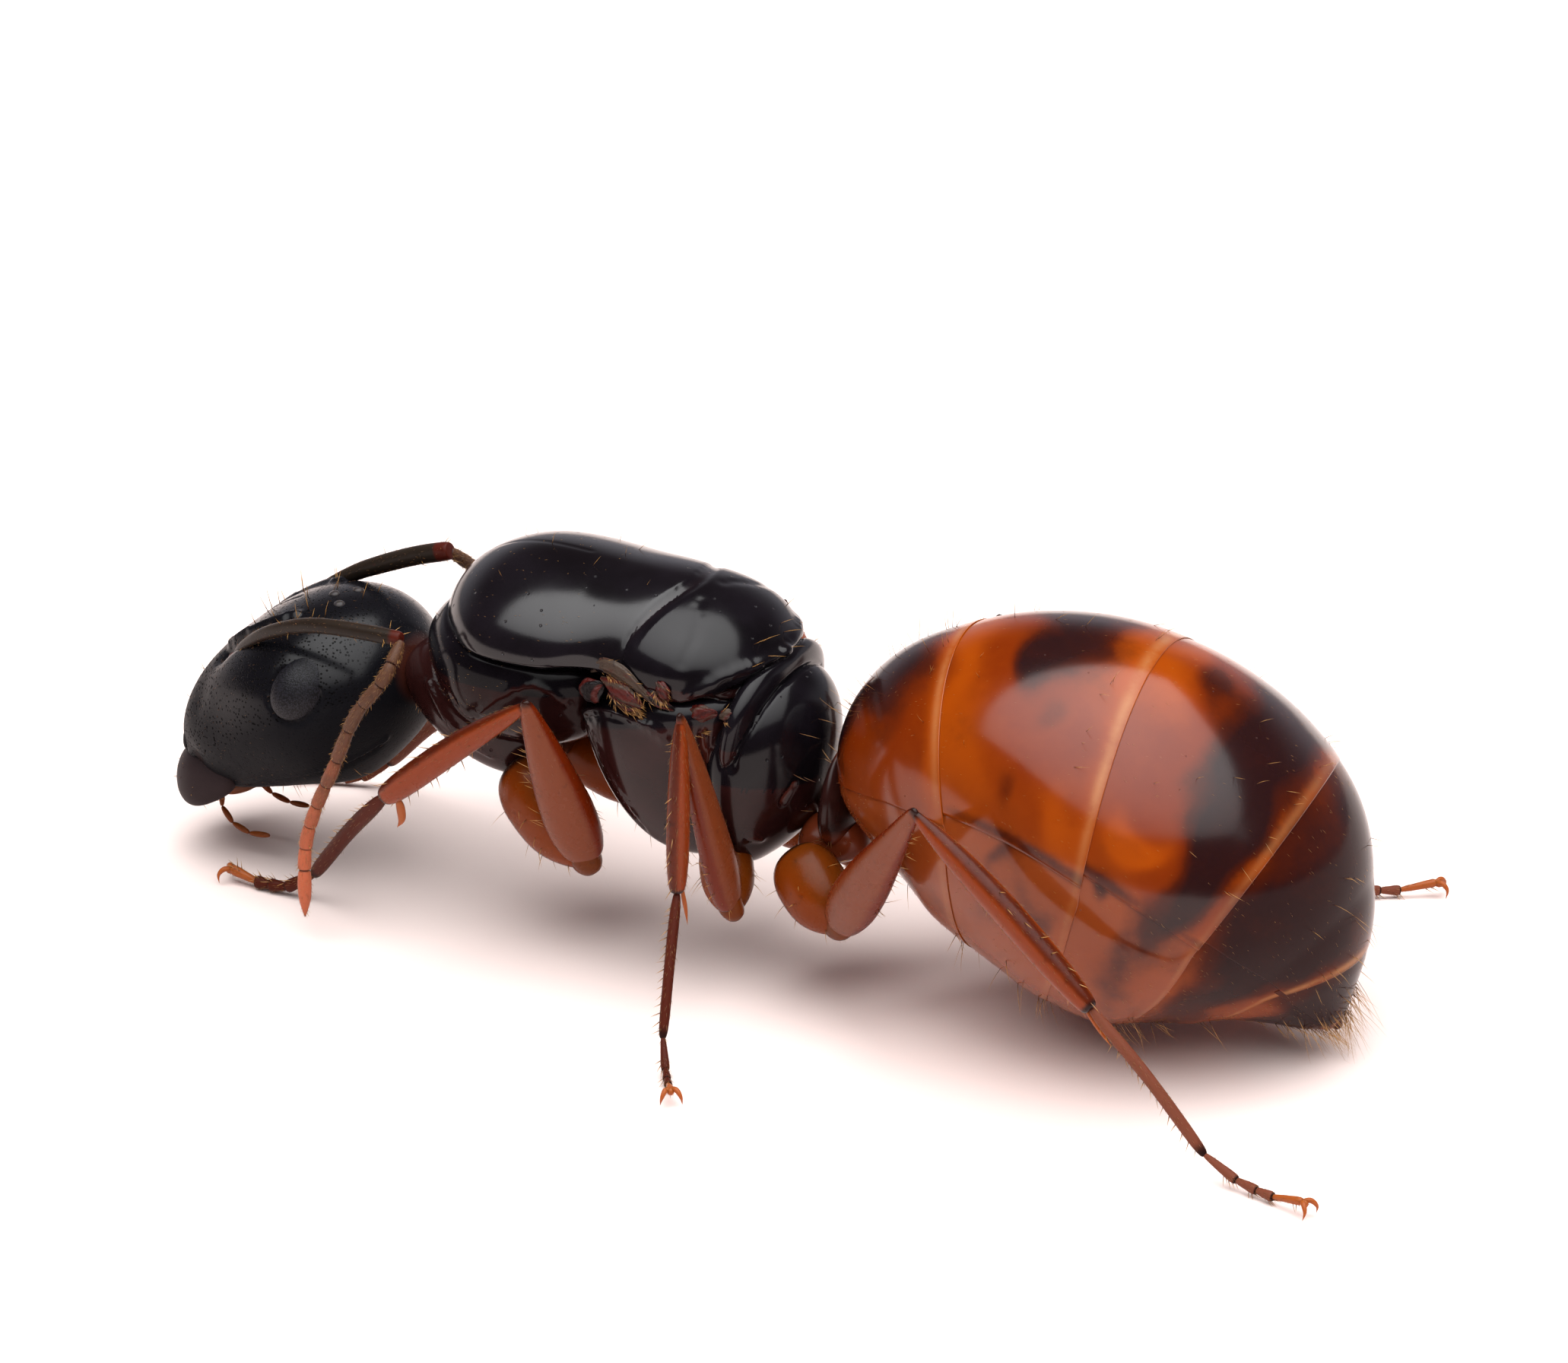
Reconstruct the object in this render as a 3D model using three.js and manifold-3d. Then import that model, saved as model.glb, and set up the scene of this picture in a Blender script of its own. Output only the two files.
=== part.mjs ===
// Queen carpenter ant after she has shed her wings, life size, as a still model.
// Millimetres, +Z up. She faces -X and her left side is at -Y. The origin is the middle of the
// floor under the whole model.
import * as THREE from "three";
import { mergeVertices } from "three/addons/utils/BufferGeometryUtils.js";
import Module from "manifold-3d";

const wasm = await Module();
wasm.setup();

// ---- driving dimensions ----
const SEAM = 0.05; // open joint left between two plates
const LIMB_RADIUS = 0.25; // half the least thickness of a leg or a feeler
const FLOOR = 0;
const BALL_HEIGHT = 0.15; // middle of a foot above the floor, under the ball of the toes
const LEFT = -1;
const RIGHT = 1;

// Every form is swept along a spine from its front end to its rear end. width, up and down are
// half sizes spread evenly along the spine, ends are the bluntness of its two ends, and square is
// the squareness of its section (2 is an ellipse).
const HEAD = {
  spine: [[-7.26, 0, 1.14], [-6.35, 0, 2.0], [-5.3, 0, 2.68], [-4.12, 0, 3.08]],
  width: [1.02, 1.34, 1.58, 1.4],
  up: [0.8, 1.0, 1.15, 1.08],
  down: [0.74, 1.02, 1.24, 1.05],
  square: 2.45,
  ends: [2.8, 2.5],
  mesh: [20, 11],
};
const CLYPEUS = {
  spine: [[-7.46, 0, 1.34], [-7.3, 0, 1.84], [-6.95, 0, 2.34]],
  width: [0.75, 0.72, 0.4],
  up: [0.2, 0.22, 0.16],
  down: [0.2, 0.22, 0.2],
  square: 2.2,
  ends: [2.6, 2.4],
  mesh: [10, 6],
};
const EYE = {
  centre: [-5.2, 1.42, 3.04],
  length: 0.43,
  breadth: 0.33,
  bulge: 0.24,
  lean: 20, // degrees the long axis leans back
  splay: 12, // degrees the eye looks up
  mesh: [12, 6],
};
const MANDIBLE = {
  spine: [[-7.36, 0.12, 0.7], [-7.2, 0.62, 0.88], [-6.72, 0.88, 1.2]],
  width: [0.3, 0.4, 0.34],
  up: [0.26, 0.38, 0.34],
  down: [0.26, 0.38, 0.34],
  square: 2,
  ends: [2, 2.4],
  mesh: [8, 6],
};
const PALP = { spine: [[-6.62, 0.42, 0.72], [-6.5, 0.5, 0.5], [-6.42, 0.55, 0.3]], mesh: [6, 5] };

const NECK = {
  spine: [[-4.25, 0, 3.2], [-3.2, 0, 2.9], [-2.0, 0, 2.35]],
  width: [0.6, 0.9, 1.0],
  up: [0.5, 0.8, 1.0],
  down: [0.45, 0.68, 0.7],
  square: 2,
  ends: [2.6, 2.6],
  mesh: [10, 6],
};
const PRONOTUM = {
  spine: [[-3.82, 0, 3.62], [-2.9, 0, 3.75], [-1.8, 0, 3.8], [-0.8, 0, 3.8]],
  width: [0.95, 1.42, 1.5, 1.4],
  up: [0.72, 0.8, 0.7, 0.6],
  down: [0.7, 1.05, 1.1, 0.9],
  square: 2.3,
  ends: [2.4, 3],
  mesh: [16, 8],
};
const SCUTUM = {
  spine: [[-3.46, 0, 4.18], [-2.4, 0, 4.24], [-1.2, 0, 4.28], [0.2, 0, 4.32]],
  width: [1.15, 1.5, 1.48, 1.2],
  up: [0.75, 0.9, 0.86, 0.76],
  down: [0.25, 0.3, 0.3, 0.3],
  square: 2.3,
  ends: [2.8, 4],
  mesh: [20, 10],
};
const SCUTELLUM = {
  spine: [[-0.9, 0, 4.25], [0.2, 0, 4.25], [1.18, 0, 4.12]],
  width: [1.2, 1.34, 0.95],
  up: [0.64, 0.7, 0.52],
  down: [0.3, 0.35, 0.35],
  square: 2.3,
  ends: [2.6, 2.6],
  mesh: [14, 8],
};
const METANOTUM = {
  spine: [[0.68, 0, 3.6], [0.95, 0, 3.56], [1.22, 0, 3.5]],
  width: [1.12, 1.26, 1.14],
  up: [0.8, 0.88, 0.8],
  down: [0.8, 0.85, 0.8],
  square: 2.2,
  ends: [2.4, 2.4],
  mesh: [12, 5],
};
const MESOPLEURON = {
  spine: [[-1.45, 0, 3.4], [-0.6, 0, 3.6], [0.3, 0, 3.8], [1.1, 0, 3.85]],
  width: [1.2, 1.46, 1.44, 1.15],
  up: [0.5, 0.55, 0.5, 0.35],
  down: [1.7, 2.15, 2.2, 1.9],
  square: 2.25,
  ends: [3, 3],
  mesh: [16, 8],
};
const PROPODEUM = {
  spine: [[0.3, 0, 2.95], [1.0, 0, 3.0], [1.72, 0, 2.9]],
  width: [1.15, 1.2, 0.8],
  up: [1.1, 1.24, 0.9],
  down: [1.2, 1.4, 1.05],
  square: 2.3,
  ends: [2.8, 3],
  mesh: [14, 8],
};
const WING_STUMPS = [
  { name: "forewing_stump", from: [-0.85, 1.42, 4.25], to: [0.35, 1.44, 3.95], radius: 0.25 },
  { name: "hindwing_stump", from: [0.72, 1.14, 3.95], to: [1.0, 1.1, 3.8], radius: 0.2 },
];
const STUMP_MESH = [6, 5];

const PETIOLE = {
  spine: [[1.92, 0, 1.95], [2.02, 0.02, 2.6], [2.0, 0.02, 3.3]],
  width: [0.5, 0.66, 0.5],
  up: [0.24, 0.22, 0.12],
  down: [0.24, 0.22, 0.12],
  square: 2,
  ends: [2.6, 2.6],
  mesh: [10, 6],
};
const GASTER = {
  spine: [
    [1.98, 0.05, 2.9], [3.4, 0.24, 3.16], [5.15, 0.5, 3.06],
    [6.75, 0.76, 2.33], [7.72, 0.92, 1.45], [8.4, 0.98, 0.46],
  ],
  width: [1.3, 1.92, 2.45, 2.38, 1.62, 0.6],
  up: [1.65, 2.12, 2.3, 2.13, 1.55, 0.45],
  down: [1.18, 2.15, 2.46, 2.36, 1.88, 0.58],
  square: 2,
  ends: [2.5, 2.5],
};
const GASTER_PLATES = [0.003, 0.225, 0.425, 0.64, 0.865, 0.997]; // shares of the spine where plates meet
const PLATE_GAP = 0.003; // half the open joint between two gaster plates, as a share of the spine
const PLATE_STEP = 0.02; // how far each plate tucks under the one before it, as a share
const GASTER_MESH = { sides: 20, rings: [5, 4, 4, 4, 5] };

// Antennae: a long first joint (scape) and an eleven-jointed lash (funiculus) from the elbow.
const SCAPE_MESH = [8, 7];
const FUNICULUS_MESH = [8, 12];
const ANTENNAE = [
  {
    side: LEFT,
    scape: [[-6.56, -0.66, 2.98], [-5.72, -1.12, 3.72], [-4.5, -1.42, 4.2], [-3.54, -1.48, 4.22]],
    funiculus: [
      [-3.5, -1.55, 4.1], [-3.62, -1.85, 3.75], [-3.98, -1.95, 3.2], [-4.3, -1.98, 2.4],
      [-4.56, -2.0, 1.78], [-4.66, -2.05, 1.2], [-4.64, -2.16, 0.32],
    ],
  },
  {
    side: RIGHT,
    scape: [[-6.6, 0.6, 2.9], [-6.1, 0.8, 3.42], [-5.1, 0.85, 4.06], [-4.08, 0.72, 4.42]],
    funiculus: [
      [-4.02, 0.8, 4.3], [-3.95, 1.3, 3.95], [-3.6, 2.2, 3.1], [-3.36, 2.8, 2.1],
      [-3.3, 3.2, 1.0],
    ],
  },
];

// Each leg is given by its joints, from the hip to the toe.
const LEGS = [
  {
    name: "fore_leg_left",
    hip: [-2.35, -0.62, 2.35],
    trochanter: [-1.12, -1.1, 1.5],
    knee: [-1.42, -2.05, 3.96],
    ankle: [-3.57, -1.95, 2.16],
    instep: [-5.05, -1.22, 0.5],
    toe: [-6.32, -1.2, 0.12],
    size: "fore",
  },
  {
    name: "fore_leg_right",
    hip: [-2.35, 0.62, 2.35],
    trochanter: [-1.12, 1.1, 1.5],
    knee: [-2.5, 2.0, 3.72],
    ankle: [-4.45, 1.65, 1.8],
    instep: [-5.92, 2.22, 0.42],
    toe: [-7.0, 1.85, 0.12],
    size: "fore",
  },
  {
    name: "mid_leg_left",
    hip: [0.6, -0.62, 1.95],
    trochanter: [0.98, -1.12, 1.3],
    knee: [0.77, -2.05, 4.26],
    ankle: [0.86, -2.32, 2.0],
    instep: [1.12, -3.18, 0.52],
    toe: [1.66, -3.98, 0.1],
    size: "mid",
  },
  {
    name: "mid_leg_right",
    hip: [0.6, 0.62, 1.95],
    trochanter: [0.9, 1.12, 1.3],
    knee: [0.11, 1.95, 4.05],
    ankle: [0.45, 2.6, 1.95],
    instep: [0.95, 3.35, 0.5],
    toe: [1.5, 3.95, 0.1],
    size: "mid",
  },
  {
    name: "hind_leg_left",
    hip: [1.55, -0.55, 1.92],
    trochanter: [2.45, -1.02, 1.36],
    knee: [4.25, -2.48, 3.94],
    ankle: [6.76, -2.6, 1.9],
    instep: [8.34, -2.66, 0.35],
    toe: [9.86, -3.0, 0.12],
    size: "hind",
  },
  {
    name: "hind_leg_right",
    hip: [1.55, 0.55, 1.92],
    trochanter: [2.3, 1.1, 1.36],
    knee: [2.7, 2.88, 4.02],
    ankle: [4.97, 4.01, 2.2],
    instep: [6.26, 4.9, 0.4],
    toe: [7.62, 5.76, 0.12],
    size: "hind",
  },
];
const LIMB_SIZES = {
  fore: { coxa: 0.46, femur: 0.36 },
  mid: { coxa: 0.34, femur: 0.31 },
  hind: { coxa: 0.4, femur: 0.33 },
};
const COXA_TAPER = [1, 1.05, 0.75]; // half thicknesses along the coxa, as shares of its size
const FEMUR_TAPER = [0.85, 1.08, 1]; // the same along the femur before it thins out to the knee
const FEMUR_START = 0.1; // gap between the trochanter's middle and the femur
const TIBIA_SWELL = 1.1; // middle of the shin against its ends
const COXA_MESH = [8, 6];
const FEMUR_MESH = [8, 7];
const TIBIA_MESH = [8, 6];
const TARSUS_MESH = [8, 9];
const LIMB_ENDS = [3, 3];
const STUMP_ENDS = [2, 2];

// ---- finishes ----
const finish = (color, roughness) => new THREE.MeshStandardMaterial({ color, roughness, metalness: 0 });
const SHELL_BLACK = { color: 0x121012, roughness: 0.18 };
const HEAD_BLACK = { color: 0x18181a, roughness: 0.42 };
const EYE_GREY = { color: 0x26272b, roughness: 0.35 };
const LEG_BROWN = { color: 0x6e2a12, roughness: 0.3 };
const SHIN_RED = { color: 0x8a3416, roughness: 0.32 };
const HIP_AMBER = { color: 0x7a3c12, roughness: 0.3 };
const FEELER_BROWN = { color: 0x6a3826, roughness: 0.45 };
const AMBER = { color: 0xb3560f, roughness: 0.2 };
const BANDED = { color: 0x7c3410, roughness: 0.2 };
const DARK_TIP = { color: 0x3a1512, roughness: 0.2 };
const SCAR = { color: 0x7a4038, roughness: 0.5 };

// ---- shape tools ----
const TINY = 1e-6;
const STRIDE = 0.01; // share of a spine over which its direction is taken
const WELD = 1e-5;

// Value at share t of a list of evenly spaced values, on a smooth curve through them.
function along(values, t) {
  const last = values.length - 1;
  const place = THREE.MathUtils.clamp(t, 0, 1) * last;
  const index = Math.min(Math.floor(place), last - 1);
  const share = place - index;
  const at = (k) => values[THREE.MathUtils.clamp(k, 0, last)];
  const before = index > 0 ? at(index - 1) : 2 * at(0) - at(1);
  const after = index + 2 <= last ? at(index + 2) : 2 * at(last) - at(last - 1);
  const slope0 = (at(index + 1) - before) / 2;
  const slope1 = (after - at(index)) / 2;
  const rise = at(index + 1) - at(index);
  const bend = 3 * rise - 2 * slope0 - slope1;
  const twist = slope0 + slope1 - 2 * rise;
  return at(index) + share * (slope0 + share * (bend + share * twist));
}

function pointAlong(spine, t) {
  return new THREE.Vector3(...[0, 1, 2].map((axis) => along(spine.map((p) => p[axis]), t)));
}

// The frame that carries the section at share t: the way along, the way across and the way up.
function frameAt(form, t) {
  const forward = pointAlong(form.spine, Math.min(t + STRIDE, 1));
  forward.sub(pointAlong(form.spine, Math.max(t - STRIDE, 0))).normalize();
  const across = new THREE.Vector3(...(form.across ?? [0, 1, 0]));
  across.addScaledVector(forward, -across.dot(forward)).normalize();
  const upward = new THREE.Vector3().crossVectors(forward, across);
  return { forward, across, upward };
}

function fullness(form, t) {
  const fromMiddle = 2 * t - 1;
  const power = form.ends[fromMiddle < 0 ? 0 : 1];
  return Math.max(1 - Math.abs(fromMiddle) ** power, 0) ** (1 / power);
}

// One point of the form's surface, or inside it where reach is under 1.
function surfacePoint(form, t, cosine, sine, reach) {
  const { across, upward } = frameAt(form, t);
  const bend = 2 / form.square;
  const sideways = Math.sign(cosine) * Math.abs(cosine) ** bend * along(form.width, t);
  const height = sine > 0 ? along(form.up, t) : along(form.down, t);
  const rise = Math.sign(sine) * Math.abs(sine) ** bend * height;
  const point = pointAlong(form.spine, t);
  point.addScaledVector(across, sideways * reach);
  point.addScaledVector(upward, rise * reach);
  return point;
}

// Moves every vertex of a geometry to where place(vertex) says.
function mapped(geometry, place) {
  const positions = geometry.getAttribute("position");
  const vertex = new THREE.Vector3();
  for (let i = 0; i < positions.count; i += 1) {
    vertex.fromBufferAttribute(positions, i);
    positions.setXYZ(i, ...place(vertex).toArray());
  }
  return geometry;
}

// A whole form with both ends closed, larger by grow all round. fit changes a finished point.
function lobe(form, grow = 0, fit = (point) => point) {
  return mapped(new THREE.SphereGeometry(1, ...form.mesh), (vertex) => {
    const t = (1 - vertex.y) / 2;
    const around = Math.hypot(vertex.x, vertex.z);
    const cosine = around > TINY ? vertex.x / around : 1;
    const sine = around > TINY ? vertex.z / around : 0;
    const reach = around > TINY ? fullness(form, t) : 0;
    const point = surfacePoint(form, t, cosine, sine, reach);
    const { forward, across, upward } = frameAt(form, t);
    point.addScaledVector(forward, -vertex.y * grow);
    point.addScaledVector(across, vertex.x * grow);
    point.addScaledVector(upward, vertex.z * grow);
    return fit(point);
  });
}

// The stretch of a form between two shares of its spine, with flat ends.
function slice(form, from, to, sides, rings, step) {
  return mapped(new THREE.CylinderGeometry(1, 1, 1, sides, rings), (vertex) => {
    const share = 0.5 - vertex.y;
    const t = from + (to - from) * (1 - Math.cos(Math.PI * share)) / 2;
    const around = Math.hypot(vertex.x, vertex.z);
    const cosine = around > TINY ? vertex.x / around : 1;
    const sine = around > TINY ? vertex.z / around : 0;
    const reach = around > TINY ? fullness(form, t) * (1 - step * (1 - share)) : 0;
    return aboveFloor(surfacePoint(form, t, cosine, sine, reach));
  });
}

// Presses whatever would reach under the floor flat onto it.
function aboveFloor(point) {
  point.z = Math.max(point.z, FLOOR);
  return point;
}

function mirrored(points, side) {
  return points.map(([x, y, z]) => [x, side * y, z]);
}

function limb(spine, radii, mesh) {
  const across = [0.02, 1, 0.03]; // never quite along the limb
  return { spine, across, width: radii, up: radii, down: radii, square: 2, ends: LIMB_ENDS, mesh };
}

// The point at a given distance from one point on the way to another.
function partWay(from, to, distance) {
  const start = new THREE.Vector3(...from);
  const way = new THREE.Vector3(...to).sub(start).normalize();
  return start.addScaledVector(way, distance).toArray();
}

// ---- cutting ----
function solidFrom(geometry) {
  const bare = geometry.clone();
  bare.deleteAttribute("normal");
  bare.deleteAttribute("uv");
  const merged = mergeVertices(bare, WELD);
  return new wasm.Manifold(new wasm.Mesh({
    numProp: 3,
    vertProperties: new Float32Array(merged.attributes.position.array),
    triVerts: new Uint32Array(merged.index.array),
  }));
}

function geometryFrom(solid) {
  const mesh = solid.getMesh();
  const geometry = new THREE.BufferGeometry();
  geometry.setAttribute("position", new THREE.BufferAttribute(mesh.vertProperties, 3));
  geometry.setIndex(new THREE.BufferAttribute(mesh.triVerts, 1));
  geometry.computeVertexNormals();
  return geometry;
}

// The first geometry less every one of the others.
function cutBy(geometry, cutters) {
  let solid = solidFrom(geometry);
  for (const cutter of cutters) {
    solid = solid.subtract(solidFrom(cutter));
  }
  return geometryFrom(solid);
}

// ---- the ant ----
const ant = new THREE.Group();

function add(name, geometry, { color, roughness }) {
  const mesh = new THREE.Mesh(geometry, finish(color, roughness));
  mesh.name = name;
  ant.add(mesh);
}

function sideName(side) {
  return side === LEFT ? "left" : "right";
}

function eyeGeometry(side, grow) {
  const [x, y, z] = EYE.centre;
  const geometry = new THREE.SphereGeometry(1, ...EYE.mesh);
  geometry.scale(EYE.breadth + grow, EYE.bulge + grow, EYE.length + grow);
  geometry.rotateY(THREE.MathUtils.degToRad(EYE.lean));
  geometry.rotateX(THREE.MathUtils.degToRad(-EYE.splay * side));
  geometry.translate(x, side * y, z);
  return geometry;
}

function mandibleForm(side) {
  return { ...MANDIBLE, spine: mirrored(MANDIBLE.spine, side) };
}

function scapeForm(antenna) {
  return limb(antenna.scape, [LIMB_RADIUS, LIMB_RADIUS], SCAPE_MESH);
}

function buildHead() {
  const cutters = [lobe(CLYPEUS, SEAM)];
  for (const side of [LEFT, RIGHT]) {
    cutters.push(eyeGeometry(side, SEAM));
    cutters.push(lobe(mandibleForm(side), SEAM));
  }
  add("head_capsule", cutBy(lobe(HEAD), cutters), HEAD_BLACK);
  const jawRoom = [LEFT, RIGHT].map((side) => lobe(mandibleForm(side), SEAM));
  add("clypeus", cutBy(lobe(CLYPEUS), jawRoom), HEAD_BLACK);
  for (const side of [LEFT, RIGHT]) {
    add("eye_" + sideName(side), eyeGeometry(side, 0), EYE_GREY);
    add("mandible_" + sideName(side), lobe(mandibleForm(side)), HEAD_BLACK);
    const palp = limb(mirrored(PALP.spine, side), [LIMB_RADIUS, LIMB_RADIUS], PALP.mesh);
    add("palp_" + sideName(side), cutBy(lobe(palp), [lobe(HEAD, SEAM)]), FEELER_BROWN);
  }
}

function buildAntennae() {
  for (const antenna of ANTENNAE) {
    const name = sideName(antenna.side);
    const scape = lobe(scapeForm(antenna));
    const eyeRoom = eyeGeometry(antenna.side, SEAM);
    add("scape_" + name, cutBy(scape, [lobe(HEAD, SEAM), eyeRoom]), FEELER_BROWN);
    const lash = limb(antenna.funiculus, [LIMB_RADIUS, LIMB_RADIUS], FUNICULUS_MESH);
    const scapeRoom = lobe(scapeForm(antenna), SEAM);
    add("funiculus_" + name, cutBy(lobe(lash), [scapeRoom]), FEELER_BROWN);
  }
}

// Plates of the middle body, outermost first: each one is cut back from those before it.
const PLATES = [
  { name: "scutum", form: SCUTUM },
  { name: "scutellum", form: SCUTELLUM },
  { name: "pronotum", form: PRONOTUM },
  { name: "mesopleuron", form: MESOPLEURON },
  { name: "metanotum", form: METANOTUM },
  { name: "propodeum", form: PROPODEUM },
  { name: "propleuron", form: NECK },
];
const LOWER_PLATES = ["mesopleuron", "propodeum", "propleuron"];

function stumpForm(stump, side) {
  const spine = mirrored([stump.from, stump.to], side);
  return { ...limb(spine, [stump.radius, stump.radius], STUMP_MESH), ends: STUMP_ENDS };
}

function buildThorax() {
  const done = [];
  const legRoom = LEGS.flatMap((leg) => [lobe(coxaForm(leg), SEAM), lobe(femurForm(leg), SEAM)]);
  for (const { name, form } of PLATES) {
    const cutters = [...done];
    if (name === "propleuron") cutters.push(lobe(HEAD, SEAM));
    if (LOWER_PLATES.includes(name)) cutters.push(...legRoom);
    add(name, cutBy(lobe(form), cutters), SHELL_BLACK);
    done.push(lobe(form, SEAM));
  }
  for (const stump of WING_STUMPS) {
    for (const side of [LEFT, RIGHT]) {
      const geometry = cutBy(lobe(stumpForm(stump, side)), done);
      add(stump.name + "_" + sideName(side), geometry, SCAR);
    }
  }
}

function buildPetioleAndGaster() {
  const petioleRoom = lobe(PETIOLE, SEAM);
  add("petiole", cutBy(lobe(PETIOLE), [lobe(PROPODEUM, SEAM)]), SHELL_BLACK);
  const finishes = [BANDED, AMBER, BANDED, DARK_TIP, DARK_TIP];
  finishes.forEach((look, i) => {
    const from = GASTER_PLATES[i] + (i > 0 ? PLATE_GAP : 0);
    const to = GASTER_PLATES[i + 1] - (i < finishes.length - 1 ? PLATE_GAP : 0);
    const plate = slice(GASTER, from, to, GASTER_MESH.sides, GASTER_MESH.rings[i], PLATE_STEP);
    add("gaster_plate_" + (i + 1), i === 0 ? cutBy(plate, [petioleRoom]) : plate, look);
  });
}

function coxaForm(leg) {
  const radii = COXA_TAPER.map((share) => share * LIMB_SIZES[leg.size].coxa);
  return limb([leg.hip, leg.trochanter], radii, COXA_MESH);
}

function femurForm(leg) {
  const radii = FEMUR_TAPER.map((share) => share * LIMB_SIZES[leg.size].femur);
  const spine = [partWay(leg.trochanter, leg.knee, FEMUR_START), leg.knee];
  return limb(spine, [...radii, LIMB_RADIUS, LIMB_RADIUS], FEMUR_MESH);
}

function tibiaForm(leg) {
  const radii = [LIMB_RADIUS, LIMB_RADIUS * TIBIA_SWELL, LIMB_RADIUS];
  return limb([leg.knee, leg.ankle], radii, TIBIA_MESH);
}

function tarsusForm(leg) {
  const ball = leg.instep.map((value, axis) => (value + leg.toe[axis]) / 2);
  ball[2] = BALL_HEIGHT;
  return limb([leg.ankle, leg.instep, ball, leg.toe], [LIMB_RADIUS, LIMB_RADIUS], TARSUS_MESH);
}

function buildLegs() {
  for (const leg of LEGS) {
    add(leg.name + "_coxa", lobe(coxaForm(leg)), HIP_AMBER);
    add(leg.name + "_femur", cutBy(lobe(femurForm(leg)), [lobe(coxaForm(leg), SEAM)]), LEG_BROWN);
    add(leg.name + "_tibia", cutBy(lobe(tibiaForm(leg)), [lobe(femurForm(leg), SEAM)]), SHIN_RED);
    const tarsus = lobe(tarsusForm(leg), 0, aboveFloor);
    add(leg.name + "_tarsus", cutBy(tarsus, [lobe(tibiaForm(leg), SEAM)]), SHIN_RED);
  }
}

buildHead();
buildAntennae();
buildThorax();
buildPetioleAndGaster();
buildLegs();

// The floor's middle under the whole ant becomes the origin.
const box = new THREE.Box3().setFromObject(ant);
const middle = box.getCenter(new THREE.Vector3());
ant.position.set(-middle.x, -middle.y, -FLOOR);
const model = new THREE.Group();
model.add(ant);

export default model;
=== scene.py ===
"""Queen carpenter ant after she has shed her wings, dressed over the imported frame.

Sizes are in millimetres in the frame of the ant's own drawing, where she faces -X and her left
side is at -Y. Land.here() moves them to the row frame, and a finished mesh is in metres.
"""

import logging
import math
from dataclasses import dataclass, replace
from enum import Enum
from typing import Any, Sequence

import bmesh
import bpy
import numpy as np
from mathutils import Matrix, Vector
from mathutils.bvhtree import BVHTree


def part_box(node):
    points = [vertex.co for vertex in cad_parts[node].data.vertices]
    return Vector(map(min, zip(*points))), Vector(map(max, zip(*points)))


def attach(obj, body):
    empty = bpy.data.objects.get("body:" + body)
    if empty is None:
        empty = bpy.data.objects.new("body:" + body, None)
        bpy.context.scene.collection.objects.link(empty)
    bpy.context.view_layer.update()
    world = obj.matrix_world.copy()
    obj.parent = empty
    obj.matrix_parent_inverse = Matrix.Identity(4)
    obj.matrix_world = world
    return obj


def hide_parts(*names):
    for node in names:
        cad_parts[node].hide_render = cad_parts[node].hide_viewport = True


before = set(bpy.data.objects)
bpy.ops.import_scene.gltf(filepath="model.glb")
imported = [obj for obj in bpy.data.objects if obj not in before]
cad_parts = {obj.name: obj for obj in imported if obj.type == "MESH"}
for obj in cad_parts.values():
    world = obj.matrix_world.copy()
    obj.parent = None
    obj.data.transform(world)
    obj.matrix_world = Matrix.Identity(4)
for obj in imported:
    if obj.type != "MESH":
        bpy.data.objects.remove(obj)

MM = 0.001
BODY = "root"
LOG = logging.getLogger("ant")
STRIDE = 0.01  # share of a spine over which its direction is taken
NUDGE = 0.004  # share of a spine, and angle, over which a surface's slope is taken
TINY = 1e-9
STRETCHES = 10  # short stretches of a stroke between two of its points
FADE = 3  # widths of a stroke at which it has died away
FLOOR_GAP = 0.002  # the lowest a hair may hang
BAKE_MAP = "OFBake"
BAKE_PATCH = 0.003
BAKE_MARGIN = 0.02  # empty share at the edges of each skin's part of the unwrap
SEEDS = {"head": 11, "feeler": 21, "trunk": 31, "waist": 41, "gaster": 51, "leg": 61}

Point = tuple[float, float, float]
Colour = tuple[float, float, float]


class Side(Enum):
    """The two sides of the animal, by the sign of Y."""

    LEFT = -1
    RIGHT = 1

    @property
    def label(self) -> str:
        """The side's name in a node."""
        return self.name.lower()


class Pair(Enum):
    """The three pairs of legs."""

    FORE = "fore"
    MID = "mid"
    HIND = "hind"


# ---------------------------------------------------------------- shader maths


def pick(sockets: Any, key: int | str) -> Any:
    """Finds a socket.

    Args:
        sockets: A node's inputs or outputs.
        key: Its number, identifier or name.

    Returns:
        The socket.
    """
    if isinstance(key, int):
        return sockets[key]
    for socket in sockets:
        if socket.identifier == key:
            return socket
    return sockets[key]


class Value:
    """A shader socket that Python's operators work on."""

    def __init__(self, bench: "Bench", socket: Any) -> None:
        """Args: bench: The material it belongs to. socket: The output socket."""
        self.bench = bench
        self.socket = socket

    def _math(self, operation: str, first: Any, second: Any) -> "Value":
        """Adds a Math node on two values or numbers."""
        return self.bench.node("ShaderNodeMath", {"operation": operation}, {0: first, 1: second})

    def __add__(self, other: Any) -> "Value":
        """Sum."""
        return self._math("ADD", self, other)

    __radd__ = __add__

    def __sub__(self, other: Any) -> "Value":
        """Difference."""
        return self._math("SUBTRACT", self, other)

    def __rsub__(self, other: Any) -> "Value":
        """Difference from a number."""
        return self._math("SUBTRACT", other, self)

    def __mul__(self, other: Any) -> "Value":
        """Product."""
        return self._math("MULTIPLY", self, other)

    __rmul__ = __mul__

    def __pow__(self, other: Any) -> "Value":
        """Power."""
        return self._math("POWER", self, other)


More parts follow.
